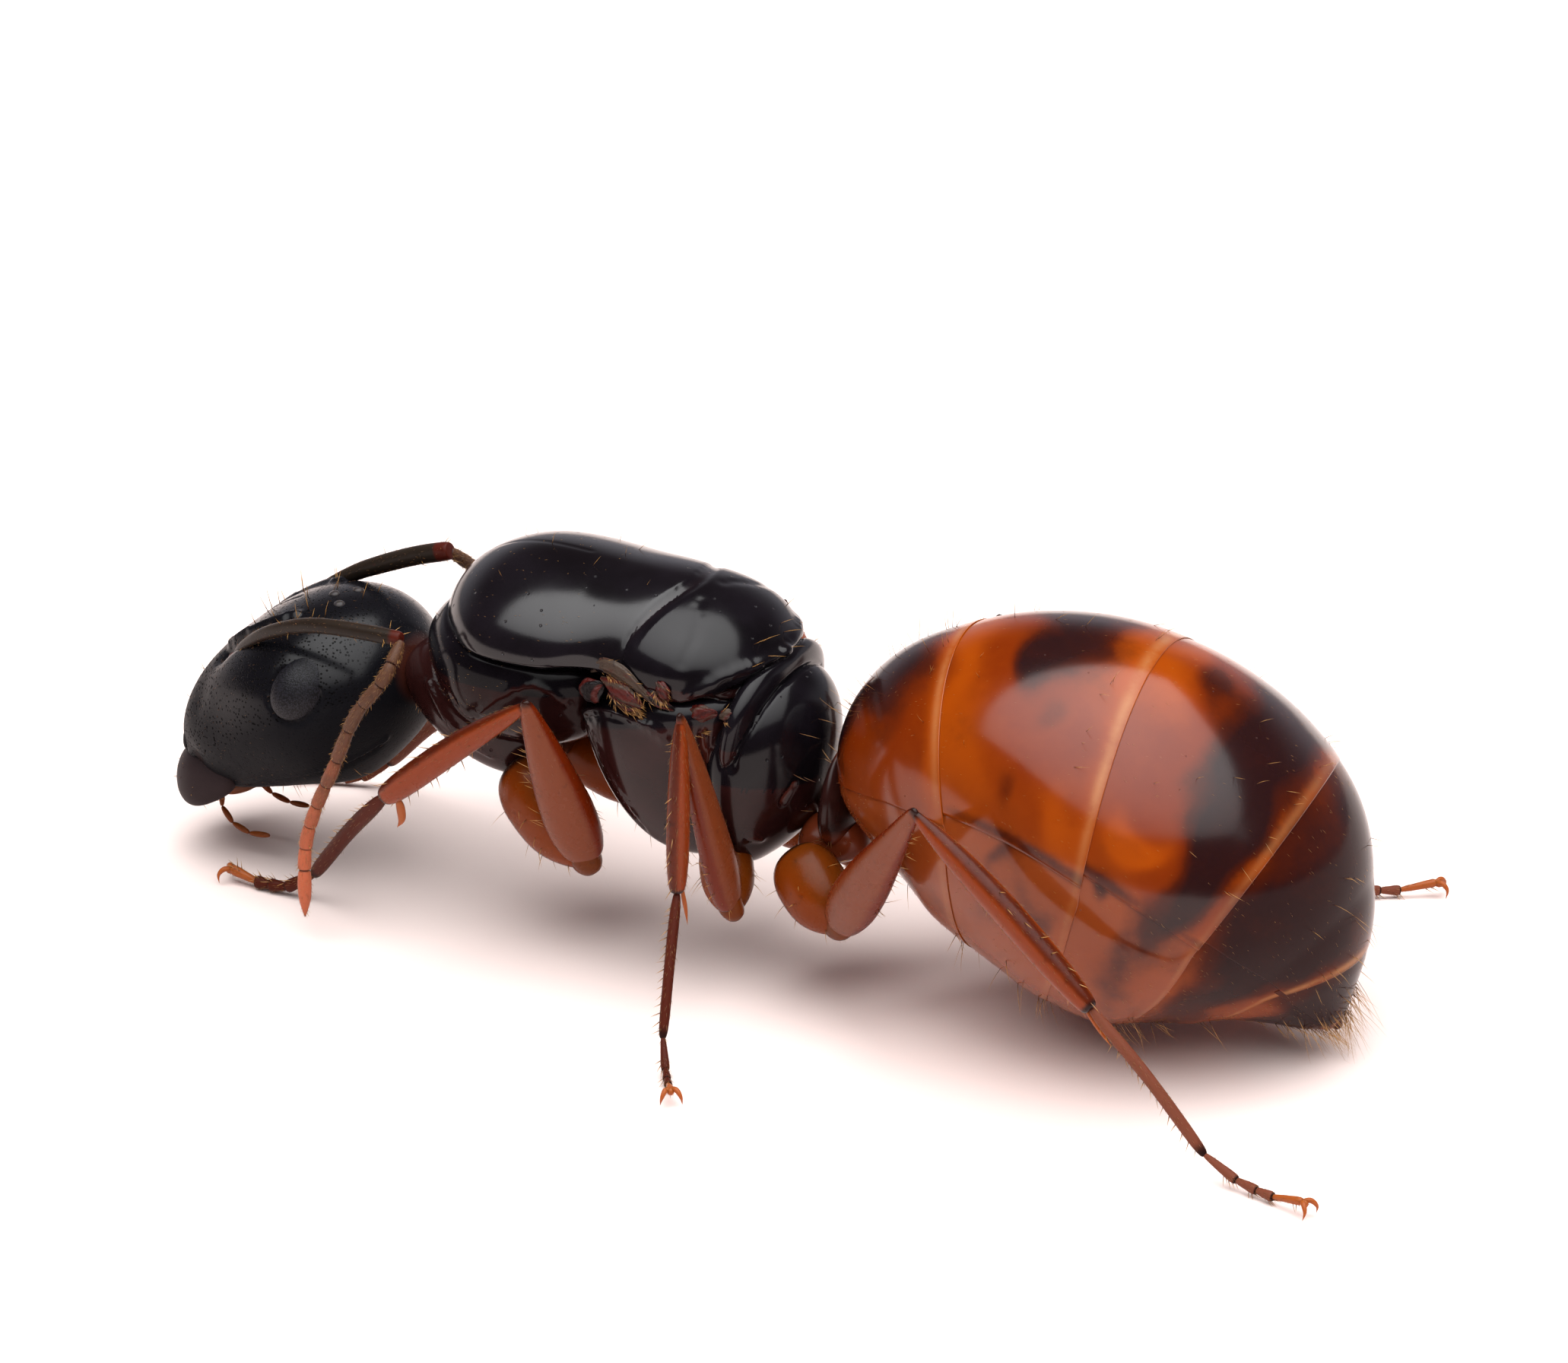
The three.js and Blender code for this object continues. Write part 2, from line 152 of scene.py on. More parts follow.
class Bench:
    """One material's or room's node tree, and the ways its nodes are added."""

    def __init__(self, name: str, room: bpy.types.World | None = None) -> None:
        """Args: name: The material's name. room: The room to dress instead."""
        self.owner = room or bpy.data.materials.new(name)
        self.owner.use_nodes = True
        self.tree = self.owner.node_tree
        self.tree.nodes.clear()

    def node(
        self,
        kind: str,
        settings: dict[str, Any] | None = None,
        sockets: dict[int | str, Any] | None = None,
        output: int | str = 0,
    ) -> Value:
        """Adds one node.

        Args:
            kind: The node's type.
            settings: Its properties, set before its sockets.
            sockets: The value or link of each input, by number, identifier or name.
            output: The output wanted.

        Returns:
            That output.
        """
        made = self.tree.nodes.new(kind)
        for key, setting in (settings or {}).items():
            setattr(made, key, setting)
        for key, value in (sockets or {}).items():
            socket = pick(made.inputs, key)
            if isinstance(value, Value):
                self.tree.links.new(value.socket, socket)
            elif isinstance(value, tuple) and socket.type == "RGBA":
                socket.default_value = (*value, 1.0)
            else:
                socket.default_value = value
        return Value(self, pick(made.outputs, output) if len(made.outputs) else None)

    def mark(self, name: str) -> Value:
        """A number that the mesh carries at its points."""
        return self.node("ShaderNodeAttribute", {"attribute_name": name}, None, "Fac")

    def place(self) -> Value:
        """The point's place in the object, in metres."""
        return self.node("ShaderNodeTexCoord", None, None, "Object")

    def noise(self, size: float, detail: float = 3.0, roughness: float = 0.5) -> Value:
        """Cloudy noise from 0 to 1 whose blotches are about size mm across."""
        sockets = {
            "Vector": self.place(), "Scale": 1.0 / (size * MM), "Detail": detail, "Roughness": roughness,
        }
        return self.node("ShaderNodeTexNoise", None, sockets, "Fac")

    def cells(self, size: float, output: str = "Distance", jitter: float = 1.0) -> Value:
        """Cells about size mm across: the distance to each one's middle, or its own colour."""
        sockets = {"Vector": self.place(), "Scale": 1.0 / (size * MM), "Randomness": jitter}
        return self.node("ShaderNodeTexVoronoi", {"feature": "F1"}, sockets, output)

    def step(self, value: Value, low: float, high: float) -> Value:
        """A smooth step from 0 at low to 1 at high, or down where high is under low."""
        settings = {"interpolation_type": "SMOOTHSTEP", "clamp": True}
        if low <= high:
            sockets = {"Value": value, "From Min": low, "From Max": high, "To Min": 0.0, "To Max": 1.0}
        else:
            sockets = {"Value": value, "From Min": high, "From Max": low, "To Min": 1.0, "To Max": 0.0}
        return self.node("ShaderNodeMapRange", settings, sockets, "Result")

    def mix(self, share: Any, first: Any, second: Any) -> Value:
        """Goes from the first colour to the second one."""
        sockets = {"Factor_Float": share, "A_Color": first, "B_Color": second}
        return self.node("ShaderNodeMix", {"data_type": "RGBA"}, sockets, "Result_Color")

    def bump(self, height: Value, depth: float, under: Value | None = None) -> Value:
        """Bumps where height 1 stands depth mm over height 0, on top of other bumps."""
        sockets: dict[int | str, Any] = {"Height": height, "Distance": depth * MM, "Strength": 1.0}
        if under is not None:
            sockets["Normal"] = under
        return self.node("ShaderNodeBump", None, sockets, "Normal")

    def surface(self, sockets: dict[int | str, Any]) -> bpy.types.Material:
        """Closes the material with its shader.

        Args:
            sockets: Sockets of the Principled shader.

        Returns:
            The material.
        """
        shader = self.node("ShaderNodeBsdfPrincipled", None, sockets, "BSDF")
        self.node("ShaderNodeOutputMaterial", None, {"Surface": shader})
        return self.owner


# ---------------------------------------------------------------- finishes


@dataclass(frozen=True)
class ShellFinish:
    """Polished black shell that thins to red-brown at seams, with a few tiny pits."""

    black: Colour = (0.003, 0.0024, 0.0034)
    rim: Colour = (0.05, 0.009, 0.005)
    polish: float = 0.1
    pit_spacing: float = 0.2
    pit_depth: float = 0.012
    pit_share: float = 0.45
    gloss: float = 1.3

    def material(self, name: str) -> bpy.types.Material:
        """Makes the material. The mark "rim" turns it red-brown."""
        bench = Bench(name)
        clouds = bench.noise(0.9, 4.0)
        rim = bench.step(bench.mark("rim") + (clouds - 0.5) * 0.35, 0.12, 0.95)
        deep = bench.mix(bench.step(clouds, 0.35, 0.75), self.black, tuple(c * 2.2 for c in self.black))
        colour = bench.mix(rim, deep, self.rim)
        pits = self.pits(bench)
        fine = bench.noise(0.02, 2.0)
        roughness = self.polish + bench.noise(0.35, 3.0) * 0.1 + pits * 0.2
        normal = bench.bump(pits, -self.pit_depth, bench.bump(fine, 0.0004))
        return bench.surface({
            "Base Color": colour, "Roughness": roughness, "Normal": normal, "IOR": self.gloss,
        })

    def pits(self, bench: Bench) -> Value:
        """A mask of the sparse pits that short hairs stand in."""
        chosen = bench.step(bench.cells(self.pit_spacing, "Color"), self.pit_share, self.pit_share + 0.02)
        return bench.step(bench.cells(self.pit_spacing), 0.12, 0.05) * chosen


@dataclass(frozen=True)
class HeadFinish:
    """Satin black of the head, with dense small punctures and a wetter crown."""

    black: Colour = (0.004, 0.004, 0.0055)
    # Darker colour inside the punctures: painted shade in the pits.
    hollow: Colour = (0.0012, 0.001, 0.0012)
    rim: Colour = (0.07, 0.016, 0.008)
    sheen: float = 0.2
    pit_spacing: float = 0.052
    gloss: float = 1.14
    wetness: float = 0.3

    def material(self, name: str) -> bpy.types.Material:
        """Makes the material. Marks: "rim" reddens it, "smooth" closes the pits, "wet" adds gloss."""
        bench = Bench(name)
        pits = bench.step(bench.cells(self.pit_spacing), 0.33, 0.2) * (1 - bench.mark("smooth"))
        clouds = bench.noise(0.8, 4.0)
        # Painted shade: the punctures are coloured darker.
        colour = bench.mix(pits, self.black, self.hollow)
        colour = bench.mix(bench.step(bench.mark("rim") + (clouds - 0.5) * 0.3, 0.15, 0.95), colour, self.rim)
        grain = bench.cells(0.012)
        normal = bench.bump(pits, -0.012, bench.bump(grain, 0.0008, bench.bump(bench.noise(0.3), 0.003)))
        wet = bench.mark("wet")
        roughness = self.sheen + clouds * 0.08 + pits * 0.5 + (1 - wet) * 0.25
        return bench.surface({
            "Base Color": colour, "Roughness": roughness, "Normal": normal, "IOR": self.gloss,
            "Coat Weight": wet * (self.wetness - pits * 0.26), "Coat Roughness": 0.2,
        })


@dataclass(frozen=True)
class EyeFinish:
    """Grey-black lens of many small facets."""

    grey: Colour = (0.013, 0.0125, 0.0175)
    gap: Colour = (0.002, 0.002, 0.003)
    facet: float = 0.02
    gloss: float = 1.28

    def material(self, name: str) -> bpy.types.Material:
        """Makes the material. The mark "rim" darkens the edge of the lens."""
        bench = Bench(name)
        facets = bench.cells(self.facet, "Distance", 0.8)
        colour = bench.mix(bench.step(facets, 0.35, 0.6), self.grey, self.gap)
        colour = bench.mix(bench.mark("rim"), colour, self.gap)
        normal = bench.bump(facets ** 2.0, -0.004)
        return bench.surface({
            "Base Color": colour, "Roughness": 0.3 + facets * 0.12, "Normal": normal, "IOR": self.gloss,
        })


@dataclass(frozen=True)
class HornFinish:
    """Clear brown horn of a leg or a feeler, with a second colour on its edges and dark joints."""

    flat: Colour
    edge: Colour
    joint: Colour
    polish: float = 0.24
    gloss: float = 1.28
    grain: float = 0.03

    def material(self, name: str) -> bpy.types.Material:
        """Makes the material. It reads the marks "edge" and "joint"."""
        bench = Bench(name)
        clouds = bench.noise(0.45, 4.0, 0.6)
        streaks = bench.noise(0.12, 2.0)
        edge = bench.step(bench.mark("edge") + (clouds - 0.5) * 0.5 + (streaks - 0.5) * 0.2, 0.2, 0.9)
        colour = bench.mix(edge, self.flat, self.edge)
        joint = bench.step(bench.mark("joint") + (clouds - 0.5) * 0.3, 0.25, 0.85)
        colour = bench.mix(joint, colour, self.joint)
        colour = bench.mix(bench.step(streaks, 0.62, 0.8) * 0.35, colour, self.joint)
        normal = bench.bump(bench.cells(self.grain), 0.0009, bench.bump(bench.noise(0.25), 0.004))
        roughness = self.polish + clouds * 0.14
        return bench.surface({
            "Base Color": colour, "Roughness": roughness, "Normal": normal, "IOR": self.gloss,
            "Subsurface Weight": 0.12, "Subsurface Radius": (1.0, 0.35, 0.12), "Subsurface Scale": 0.25 * MM,
        })


@dataclass(frozen=True)
class GasterFinish:
    """Glassy amber shell with dark cloudy bands, pale rear margins and a painted reflection of the floor that
    pales its lower flanks and belly.
    """

    amber: Colour = (0.16, 0.017, 0.0006)
    orange: Colour = (0.33, 0.05, 0.001)
    # Painted reflection of the floor on the lower flanks and the belly.
    milk: Colour = (0.25, 0.05, 0.011)
    brown: Colour = (0.06, 0.008, 0.002)
    dark: Colour = (0.018, 0.005, 0.005)
    line: Colour = (0.5, 0.22, 0.08)
    polish: float = 0.12
    gloss: float = 1.38

    def material(self, name: str) -> bpy.types.Material:
        """Makes the material. It reads the marks "dark", "milk", "glow" and "line"; the milk mark paints a
        reflection of the floor.
        """
        bench = Bench(name)
        clouds = bench.noise(0.8, 6.0, 0.62)
        drift = bench.noise(2.2, 2.0)
        mottle = drift * 0.5 + (clouds - 0.5) * 0.7 + bench.mark("glow")
        colour = bench.mix(bench.step(mottle, 0.0, 1.0), self.amber, self.orange)
        # Painted reflection of the floor: the lower flanks and the belly are paled towards this colour.
        colour = bench.mix(bench.mark("milk") * (0.6 + clouds * 0.6), colour, self.milk)
        shade = bench.mark("dark") + (clouds - 0.5) * 0.9 + (drift - 0.5) * 0.3
        colour = bench.mix(bench.step(shade, 0.0, 0.6), colour, self.brown)
        colour = bench.mix(bench.step(shade, 0.35, 1.05), colour, self.dark)
        colour = bench.mix(bench.mark("line") * bench.step(clouds, 0.25, 0.6), colour, self.line)
        specks = bench.step(bench.cells(0.3), 0.045, 0.02)
        colour = bench.mix(specks * 0.5, colour, self.brown)
        fine = bench.noise(0.03, 2.0)
        normal = bench.bump(specks, -0.003, bench.bump(fine, 0.0003, bench.bump(bench.noise(1.2), 0.005)))
        roughness = self.polish + clouds * 0.05
        return bench.surface({
            "Base Color": colour, "Roughness": roughness, "Normal": normal, "IOR": self.gloss,
            "Subsurface Weight": 0.15, "Subsurface Radius": (1.0, 0.35, 0.1), "Subsurface Scale": 0.3 * MM,
        })


@dataclass(frozen=True)
class ScarFinish:
    """Torn wing root: pale dry skin, red muscle in strands and dark scraps of shell."""

    skin: Colour = (0.05, 0.032, 0.022)
    muscle: Colour = (0.06, 0.006, 0.004)
    scrap: Colour = (0.003, 0.0015, 0.002)
    gloss: float = 1.3

    def material(self, name: str) -> bpy.types.Material:
        """Makes the material. The mark "tone" goes from skin at 0 over muscle to scrap at 1."""
        bench = Bench(name)
        clouds = bench.noise(0.16, 4.0, 0.65)
        strands = bench.noise(0.06, 2.0)
        tone = bench.mark("tone") + (clouds - 0.5) * 0.5
        colour = bench.mix(bench.step(tone, 0.15, 0.45), self.skin, self.muscle)
        colour = bench.mix(bench.step(tone, 0.62, 0.9), colour, self.scrap)
        colour = bench.mix(bench.step(strands, 0.58, 0.7) * 0.6, colour, self.scrap)
        normal = bench.bump(clouds, 0.03, bench.bump(strands, 0.012))
        return bench.surface({
            "Base Color": colour, "Roughness": 0.25 + strands * 0.3, "Normal": normal, "IOR": self.gloss,
        })


@dataclass(frozen=True)
class HairFinish:
    """Stiff golden hair, darker at its root."""

    gold: Colour = (0.52, 0.27, 0.075)
    root: Colour = (0.10, 0.035, 0.012)

    def material(self, name: str) -> bpy.types.Material:
        """Makes the material. It reads the marks "tip" and "shade"."""
        bench = Bench(name)
        colour = bench.mix(bench.step(bench.mark("tip"), 0.0, 0.5), self.root, self.gold)
        colour = bench.mix(bench.mark("shade"), colour, self.root)
        roughness = 0.32 + bench.noise(0.1) * 0.15
        return bench.surface({"Base Color": colour, "Roughness": roughness, "IOR": 1.5})


@dataclass(frozen=True)
class PaperFinish:
    """Plain warm white paper the animal stands on."""

    white: Colour = (0.93, 0.8, 0.76)

    def material(self, name: str) -> bpy.types.Material:
        """Makes the material."""
        bench = Bench(name)
        colour = bench.mix(bench.noise(6.0, 3.0), self.white, tuple(c * 0.985 for c in self.white))
        return bench.surface({"Base Color": colour, "Roughness": 0.9, "Specular IOR Level": 0.1})


SHELL = ShellFinish()
RED_SHELL = ShellFinish(black=(0.012, 0.0035, 0.003), rim=(0.16, 0.03, 0.01), polish=0.16)
HEAD_BLACK = HeadFinish()
JAW_GREY = HeadFinish(black=(0.024, 0.016, 0.017), sheen=0.25)
EYE_GREY = EyeFinish()
COXA_AMBER = HornFinish((0.16, 0.028, 0.002), (0.1, 0.022, 0.002), (0.012, 0.004, 0.002), 0.2, 1.22)
# On thighs and shins the edge colour is darker: partly the horn's own rims, partly painted shade for the dark
# outline of clear horn.
FEMUR_BROWN = HornFinish((0.16, 0.036, 0.011), (0.12, 0.012, 0.001), (0.012, 0.003, 0.002), 0.2)
TIBIA_RED = HornFinish((0.19, 0.03, 0.005), (0.06, 0.007, 0.001), (0.015, 0.004, 0.003), 0.22)
# Lighter copy of the shin's horn for the right legs: painted backlight on the same horn.
TIBIA_BACKLIT = replace(TIBIA_RED, flat=(0.26, 0.05, 0.01))
TARSUS_RED = HornFinish((0.065, 0.012, 0.006), (0.05, 0.008, 0.004), (0.015, 0.004, 0.003), 0.4, 1.17)
# Paler foot horn: the hind feet's own paler colour, and on the right feet a painted backlight.
TARSUS_PALE_AND_BACKLIT = replace(TARSUS_RED, flat=(0.16, 0.05, 0.028), edge=(0.12, 0.03, 0.016))
TOE_ORANGE = HornFinish((0.3, 0.075, 0.015), (0.2, 0.04, 0.008), (0.03, 0.008, 0.004), 0.3)
SCAPE_OLIVE = HornFinish((0.016, 0.011, 0.008), (0.022, 0.014, 0.009), (0.06, 0.009, 0.005), 0.3, 1.2)
LASH_BROWN = HornFinish((0.08, 0.036, 0.02), (0.4, 0.1, 0.045), (0.03, 0.009, 0.006), 0.4)
MOUTH_ORANGE = HornFinish((0.15, 0.035, 0.003), (0.08, 0.02, 0.003), (0.03, 0.008, 0.003), 0.35)
OCELLUS_GLASS = HornFinish((0.035, 0.03, 0.03), (0.05, 0.045, 0.045), (0.004, 0.004, 0.004), 0.08)
GASTER_AMBER = GasterFinish()
# Skin between the plates; its third colour is the painted reflection of the floor, as on the plates.
SKIN_FOLD = GasterFinish(
    amber=(0.3, 0.07, 0.012), orange=(0.4, 0.1, 0.012), milk=(0.36, 0.1, 0.03), polish=0.2,
)
WING_SCAR = ScarFinish()
HAIR_GOLD = HairFinish()


# ---------------------------------------------------------------- forms


def along(values: Sequence[Any], shares: np.ndarray) -> np.ndarray:
    """Reads evenly spaced values on a smooth curve through them.

    Args:
        values: Numbers or points.
        shares: Places on the curve, from 0 to 1.

    Returns:
        One value for each place.
    """
    rows = np.asarray(values, float)
    last = len(rows) - 1
    padded = np.concatenate([[2 * rows[0] - rows[1]], rows, [2 * rows[-1] - rows[-2]]])
    place = np.clip(shares, 0.0, 1.0) * last
    index = np.minimum(place.astype(int), last - 1)
    share = place - index
    if rows.ndim > 1:
        share = share[:, None]
    before, start, end, after = (padded[index + k] for k in range(4))
    slope0 = (end - before) / 2
    slope1 = (after - start) / 2
    rise = end - start
    bend = 3 * rise - 2 * slope0 - slope1
    twist = slope0 + slope1 - 2 * rise
    return start + share * (slope0 + share * (bend + share * twist))


def unit(vectors: np.ndarray) -> np.ndarray:
    """The same directions at length 1."""
    length = np.linalg.norm(vectors, axis=-1, keepdims=True)
    return vectors / np.maximum(length, TINY)


def smooth(values: np.ndarray, low: float, high: float) -> np.ndarray:
    """A smooth step from 0 at low to 1 at high."""
    share = np.clip((values - low) / (high - low), 0.0, 1.0)
    return share * share * (3 - 2 * share)


def mirrored(points: Sequence[Point], side: Side) -> tuple[Point, ...]:
    """Points of the right side, on the side wanted."""
    return tuple((x, side.value * y, z) for x, y, z in points)


@dataclass(frozen=True)
class Form:
    """A closed form swept along a spine from its front end to its rear end.

    width, up and down are half sizes spread evenly along the spine, square is the squareness of
    the section and ends are the bluntness of the two ends.
    """

    spine: tuple[Point, ...]
    width: tuple[float, ...]
    up: tuple[float, ...]
    down: tuple[float, ...]
    square: float = 2.0
    ends: tuple[float, float] = (2.5, 2.5)
    across: Point = (0.0, 1.0, 0.0)

    def axes(self, shares: np.ndarray) -> tuple[np.ndarray, np.ndarray, np.ndarray]:
        """The way along, the way across and the way up at each share."""
        forward = along(self.spine, np.minimum(shares + STRIDE, 1.0))
        forward = unit(forward - along(self.spine, np.maximum(shares - STRIDE, 0.0)))
        across = np.asarray(self.across, float)
        across = unit(across - forward * (forward @ across)[:, None])
        return forward, across, np.cross(forward, across)

    def fullness(self, shares: np.ndarray) -> np.ndarray:
        """How full the section is at each share: 0 at the two ends and 1 in the middle."""
        middle = 2 * shares - 1
        power = np.where(middle < 0, self.ends[0], self.ends[1])
        return np.maximum(1 - np.abs(middle) ** power, 0.0) ** (1 / power)

    def place(self, shares: np.ndarray, turns: np.ndarray, reach: Any = None) -> np.ndarray:
        """Points of the surface.

        Args:
            shares: Places along the spine.
            turns: Angles round it in radians, 0 on the right side and a quarter turn on top.
            reach: Share of the way out to the surface. None follows the two rounded ends.

        Returns:
            The points, in mm.
        """
        _, across, upward = self.axes(shares)
        full = self.fullness(shares) if reach is None else reach
        cosine, sine = np.cos(turns), np.sin(turns)
        bend = 2 / self.square
        sideways = np.sign(cosine) * np.abs(cosine) ** bend * along(self.width, shares)
        height = np.where(sine > 0, along(self.up, shares), along(self.down, shares))
        rise = np.sign(sine) * np.abs(sine) ** bend * height
        point = along(self.spine, shares)
        return point + across * (sideways * full)[:, None] + upward * (rise * full)[:, None]

    def normals(self, shares: np.ndarray, turns: np.ndarray) -> tuple[np.ndarray, np.ndarray]:
        """The way out of the surface and the way back along it, at each place."""
        shares = np.clip(shares, 0.02, 0.98)
        back = self.place(shares + NUDGE, turns) - self.place(shares - NUDGE, turns)
        round_it = self.place(shares, turns + NUDGE) - self.place(shares, turns - NUDGE)
        return unit(np.cross(round_it, back)), unit(back)


def rod(spine: Sequence[Sequence[float]], radii: Sequence[float], flat: float = 1.0,
        across: Point = (0.02, 1.0, 0.03), ends: tuple[float, float] = (3.0, 3.0)) -> Form:
    """A limb's form.

    Args:
        spine: Its middle line.
        radii: Half thicknesses along it.
        flat: Thickness across against the thickness up and down.
        across: The way that is flat.
        ends: Bluntness of its ends.

    Returns:
        The form.
    """
    radii = tuple(radii)
    thin = tuple(r * flat for r in radii)
    return Form(tuple(tuple(point) for point in spine), thin, radii, radii, 2.0, ends, across)


class Land:
    """Where the drawing of the ant lies in the row frame."""

    EYE_CENTRE = (-5.2, 0.0, 3.04)  # middle between the two eyes of the frame, in the drawing

    def __init__(self) -> None:
        """Finds the move from the two eyes of the frame."""
        middles = [sum(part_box("eye_" + side.label), Vector()) / 2 for side in Side]
        middle = (middles[0] + middles[1]) / 2 / MM
        self.shift = np.array(middle) - np.array(self.EYE_CENTRE)

    def here(self, points: np.ndarray) -> np.ndarray:
        """Points of the drawing, in metres in the row frame."""
        return (points + self.shift) * MM


LAND = Land()


# ---------------------------------------------------------------- skins


def read(collection: Any, field: str, width: int) -> np.ndarray:
    """One field of a mesh's elements as an array."""
    out = np.empty(len(collection) * width, np.float64 if field != "vertex_index" else np.int32)
    collection.foreach_get(field, out)
    return out.reshape(-1, width) if width > 1 else out


@dataclass(frozen=True)
class Stroke:
    """A groove along a smooth line on a skin, or a ridge where its depth is under 0."""

    line: tuple[Point, ...]
    width: float
    depth: float
    rim: float = 0.0
    twin: bool = True

    def paths(self) -> list[np.ndarray]:
        """The line as many short stretches, and its mirror image if it has a twin."""
        count = STRETCHES * (len(self.line) - 1) + 1
        path = along(self.line, np.linspace(0, 1, count)) if len(self.line) > 2 else np.array(self.line)
        return [path, path * [1, -1, 1]] if self.twin else [path]


@dataclass(frozen=True)
class Dent:
    """A round hollow in a skin, or a boss where its depth is under 0."""

    centre: Point
    radius: float
    depth: float
    rim: float = 0.0
    twin: bool = True

    def centres(self) -> list[np.ndarray]:
        """Its centre, and the mirror image if it has a twin."""
        centre = np.array(self.centre, float)
        return [centre, centre * [1, -1, 1]] if self.twin else [centre]


def distance_to(points: np.ndarray, path: np.ndarray) -> np.ndarray:
    """Distance from each point to the nearest stretch of a path."""
    best = np.full(len(points), np.inf)
    for start, end in zip(path[:-1], path[1:]):
        way = end - start
        share = np.clip((points - start) @ way / max(way @ way, TINY), 0, 1)
        best = np.minimum(best, np.linalg.norm(points - start - share[:, None] * way, axis=1))
    return best


def meshed(shape: bmesh.types.BMesh, name: str) -> bpy.types.Mesh:
    """Turns a shape into a mesh, and frees the shape."""
    mesh = bpy.data.meshes.new(name)
    shape.to_mesh(mesh)
    shape.free()
    return mesh


def ball_mesh(rings: int, sides: int, name: str) -> bpy.types.Mesh:
    """A ball of radius 1, divided into rings and sides."""
    shape = bmesh.new()
    bmesh.ops.create_uvsphere(shape, u_segments=sides, v_segments=rings, radius=1.0)
    return meshed(shape, name)


def write_marks(mesh: bpy.types.Mesh, marks: dict[str, np.ndarray]) -> None:
    """Stores numbers at a mesh's points."""
    for name, values in marks.items():
        layer = mesh.attributes.new(name, "FLOAT", "POINT")
        layer.data.foreach_set("value", np.clip(values, 0, 1).astype(np.float32))


def land(mesh: bpy.types.Mesh, points: np.ndarray, marks: dict[str, np.ndarray]) -> bpy.types.Mesh:
    """Sets a mesh's points, in the drawing's mm, and its marks, and shades it smooth."""
    mesh.vertices.foreach_set("co", LAND.here(points).ravel())
    write_marks(mesh, marks)
    mesh.polygons.foreach_set("use_smooth", [True] * len(mesh.polygons))
    mesh.update()
    return mesh


class Skin:
    """A form's surface, finely divided, on which details are carved and marked."""

    def __init__(self, form: Form, rings: int, sides: int) -> None:
        """Args: form: The form. rings, sides: How finely it is divided along and around."""
        self.form = form
        self.mesh = ball_mesh(rings, sides, "skin")
        ball = read(self.mesh.vertices, "co", 3)
        self.shares = (1 + ball[:, 2]) / 2
        self.turns = np.arctan2(ball[:, 1], ball[:, 0])
        self.points = form.place(self.shares, self.turns)
        self.marks: dict[str, np.ndarray] = {}

    def mark(self, name: str, values: np.ndarray | float) -> "Skin":
        """Raises a mark that the shader reads to these values, where it is under them."""
        old = self.marks.get(name, np.zeros(len(self.points)))
        self.marks[name] = np.maximum(old, values)
        return self

    def normals(self) -> np.ndarray:
        """The way out at each point."""
        self.mesh.vertices.foreach_set("co", self.points.ravel())
        self.mesh.update()
        return read(self.mesh.vertex_normals, "vector", 3)

    def carve(self, strokes: Sequence[Stroke], dents: Sequence[Dent] = ()) -> "Skin":
        """Presses grooves and hollows into the surface, all from its shape before them."""
        normals = self.normals()
        before = self.points.copy()
        for stroke in strokes:
            for path in stroke.paths():
                margin = FADE * stroke.width
                near = np.all((before > path.min(0) - margin) & (before < path.max(0) + margin), axis=1)
                near = np.flatnonzero(near)
                if not len(near):
                    continue
                snapped = before[near][[np.argmin(((before[near] - p) ** 2).sum(1)) for p in path]]
                close = np.linalg.norm(snapped - path, axis=1) < margin
                if close.sum() < 2:
                    continue
                weight = np.exp(-((distance_to(before[near], snapped[close]) / stroke.width) ** 2))
                self.points[near] -= normals[near] * (stroke.depth * weight)[:, None]
                self.mark("rim", self._spread(near, weight * stroke.rim))
        for dent in dents:
            for centre in dent.centres():
                weight = np.exp(-((np.linalg.norm(before - centre, axis=1) / dent.radius) ** 2))
                self.points -= normals * (dent.depth * weight)[:, None]
                self.mark("rim", weight * dent.rim)
        return self

    def _spread(self, chosen: np.ndarray, values: np.ndarray) -> np.ndarray:
        """Values of some points as values of all of them, 0 elsewhere."""
        out = np.zeros(len(self.points))
        out[chosen] = values
        return out

    def tree(self) -> BVHTree:
        """The surface as a search tree, in the drawing's mm."""
        self.normals()
        polygons = [list(face.vertices) for face in self.mesh.polygons]
        return BVHTree.FromPolygons([tuple(p) for p in self.points], polygons)

    def done(self) -> bpy.types.Mesh:
        """The mesh in the row frame, with its marks."""
        return land(self.mesh, self.points, self.marks)


def woven(name: str, points: np.ndarray, corners: np.ndarray, totals: np.ndarray) -> bpy.types.Mesh:
    """Makes a mesh from bare numbers.

    Args:
        name: Its name.
        points: Its points, in metres.
        corners: The point at each corner of its faces, face after face.
        totals: How many corners each face has.

    Returns:
        The mesh, shaded smooth.
    """
    made = bpy.data.meshes.new(name)
    made.vertices.add(len(points))
    made.vertices.foreach_set("co", points.ravel())
    made.loops.add(len(corners))
    made.loops.foreach_set("vertex_index", corners.astype(np.int32))
    made.polygons.add(len(totals))
    starts = np.concatenate([[0], np.cumsum(totals)[:-1]])
    made.polygons.foreach_set("loop_start", starts.astype(np.int32))
    made.polygons.foreach_set("use_smooth", [True] * len(totals))
    made.update(calc_edges=True)
    return made


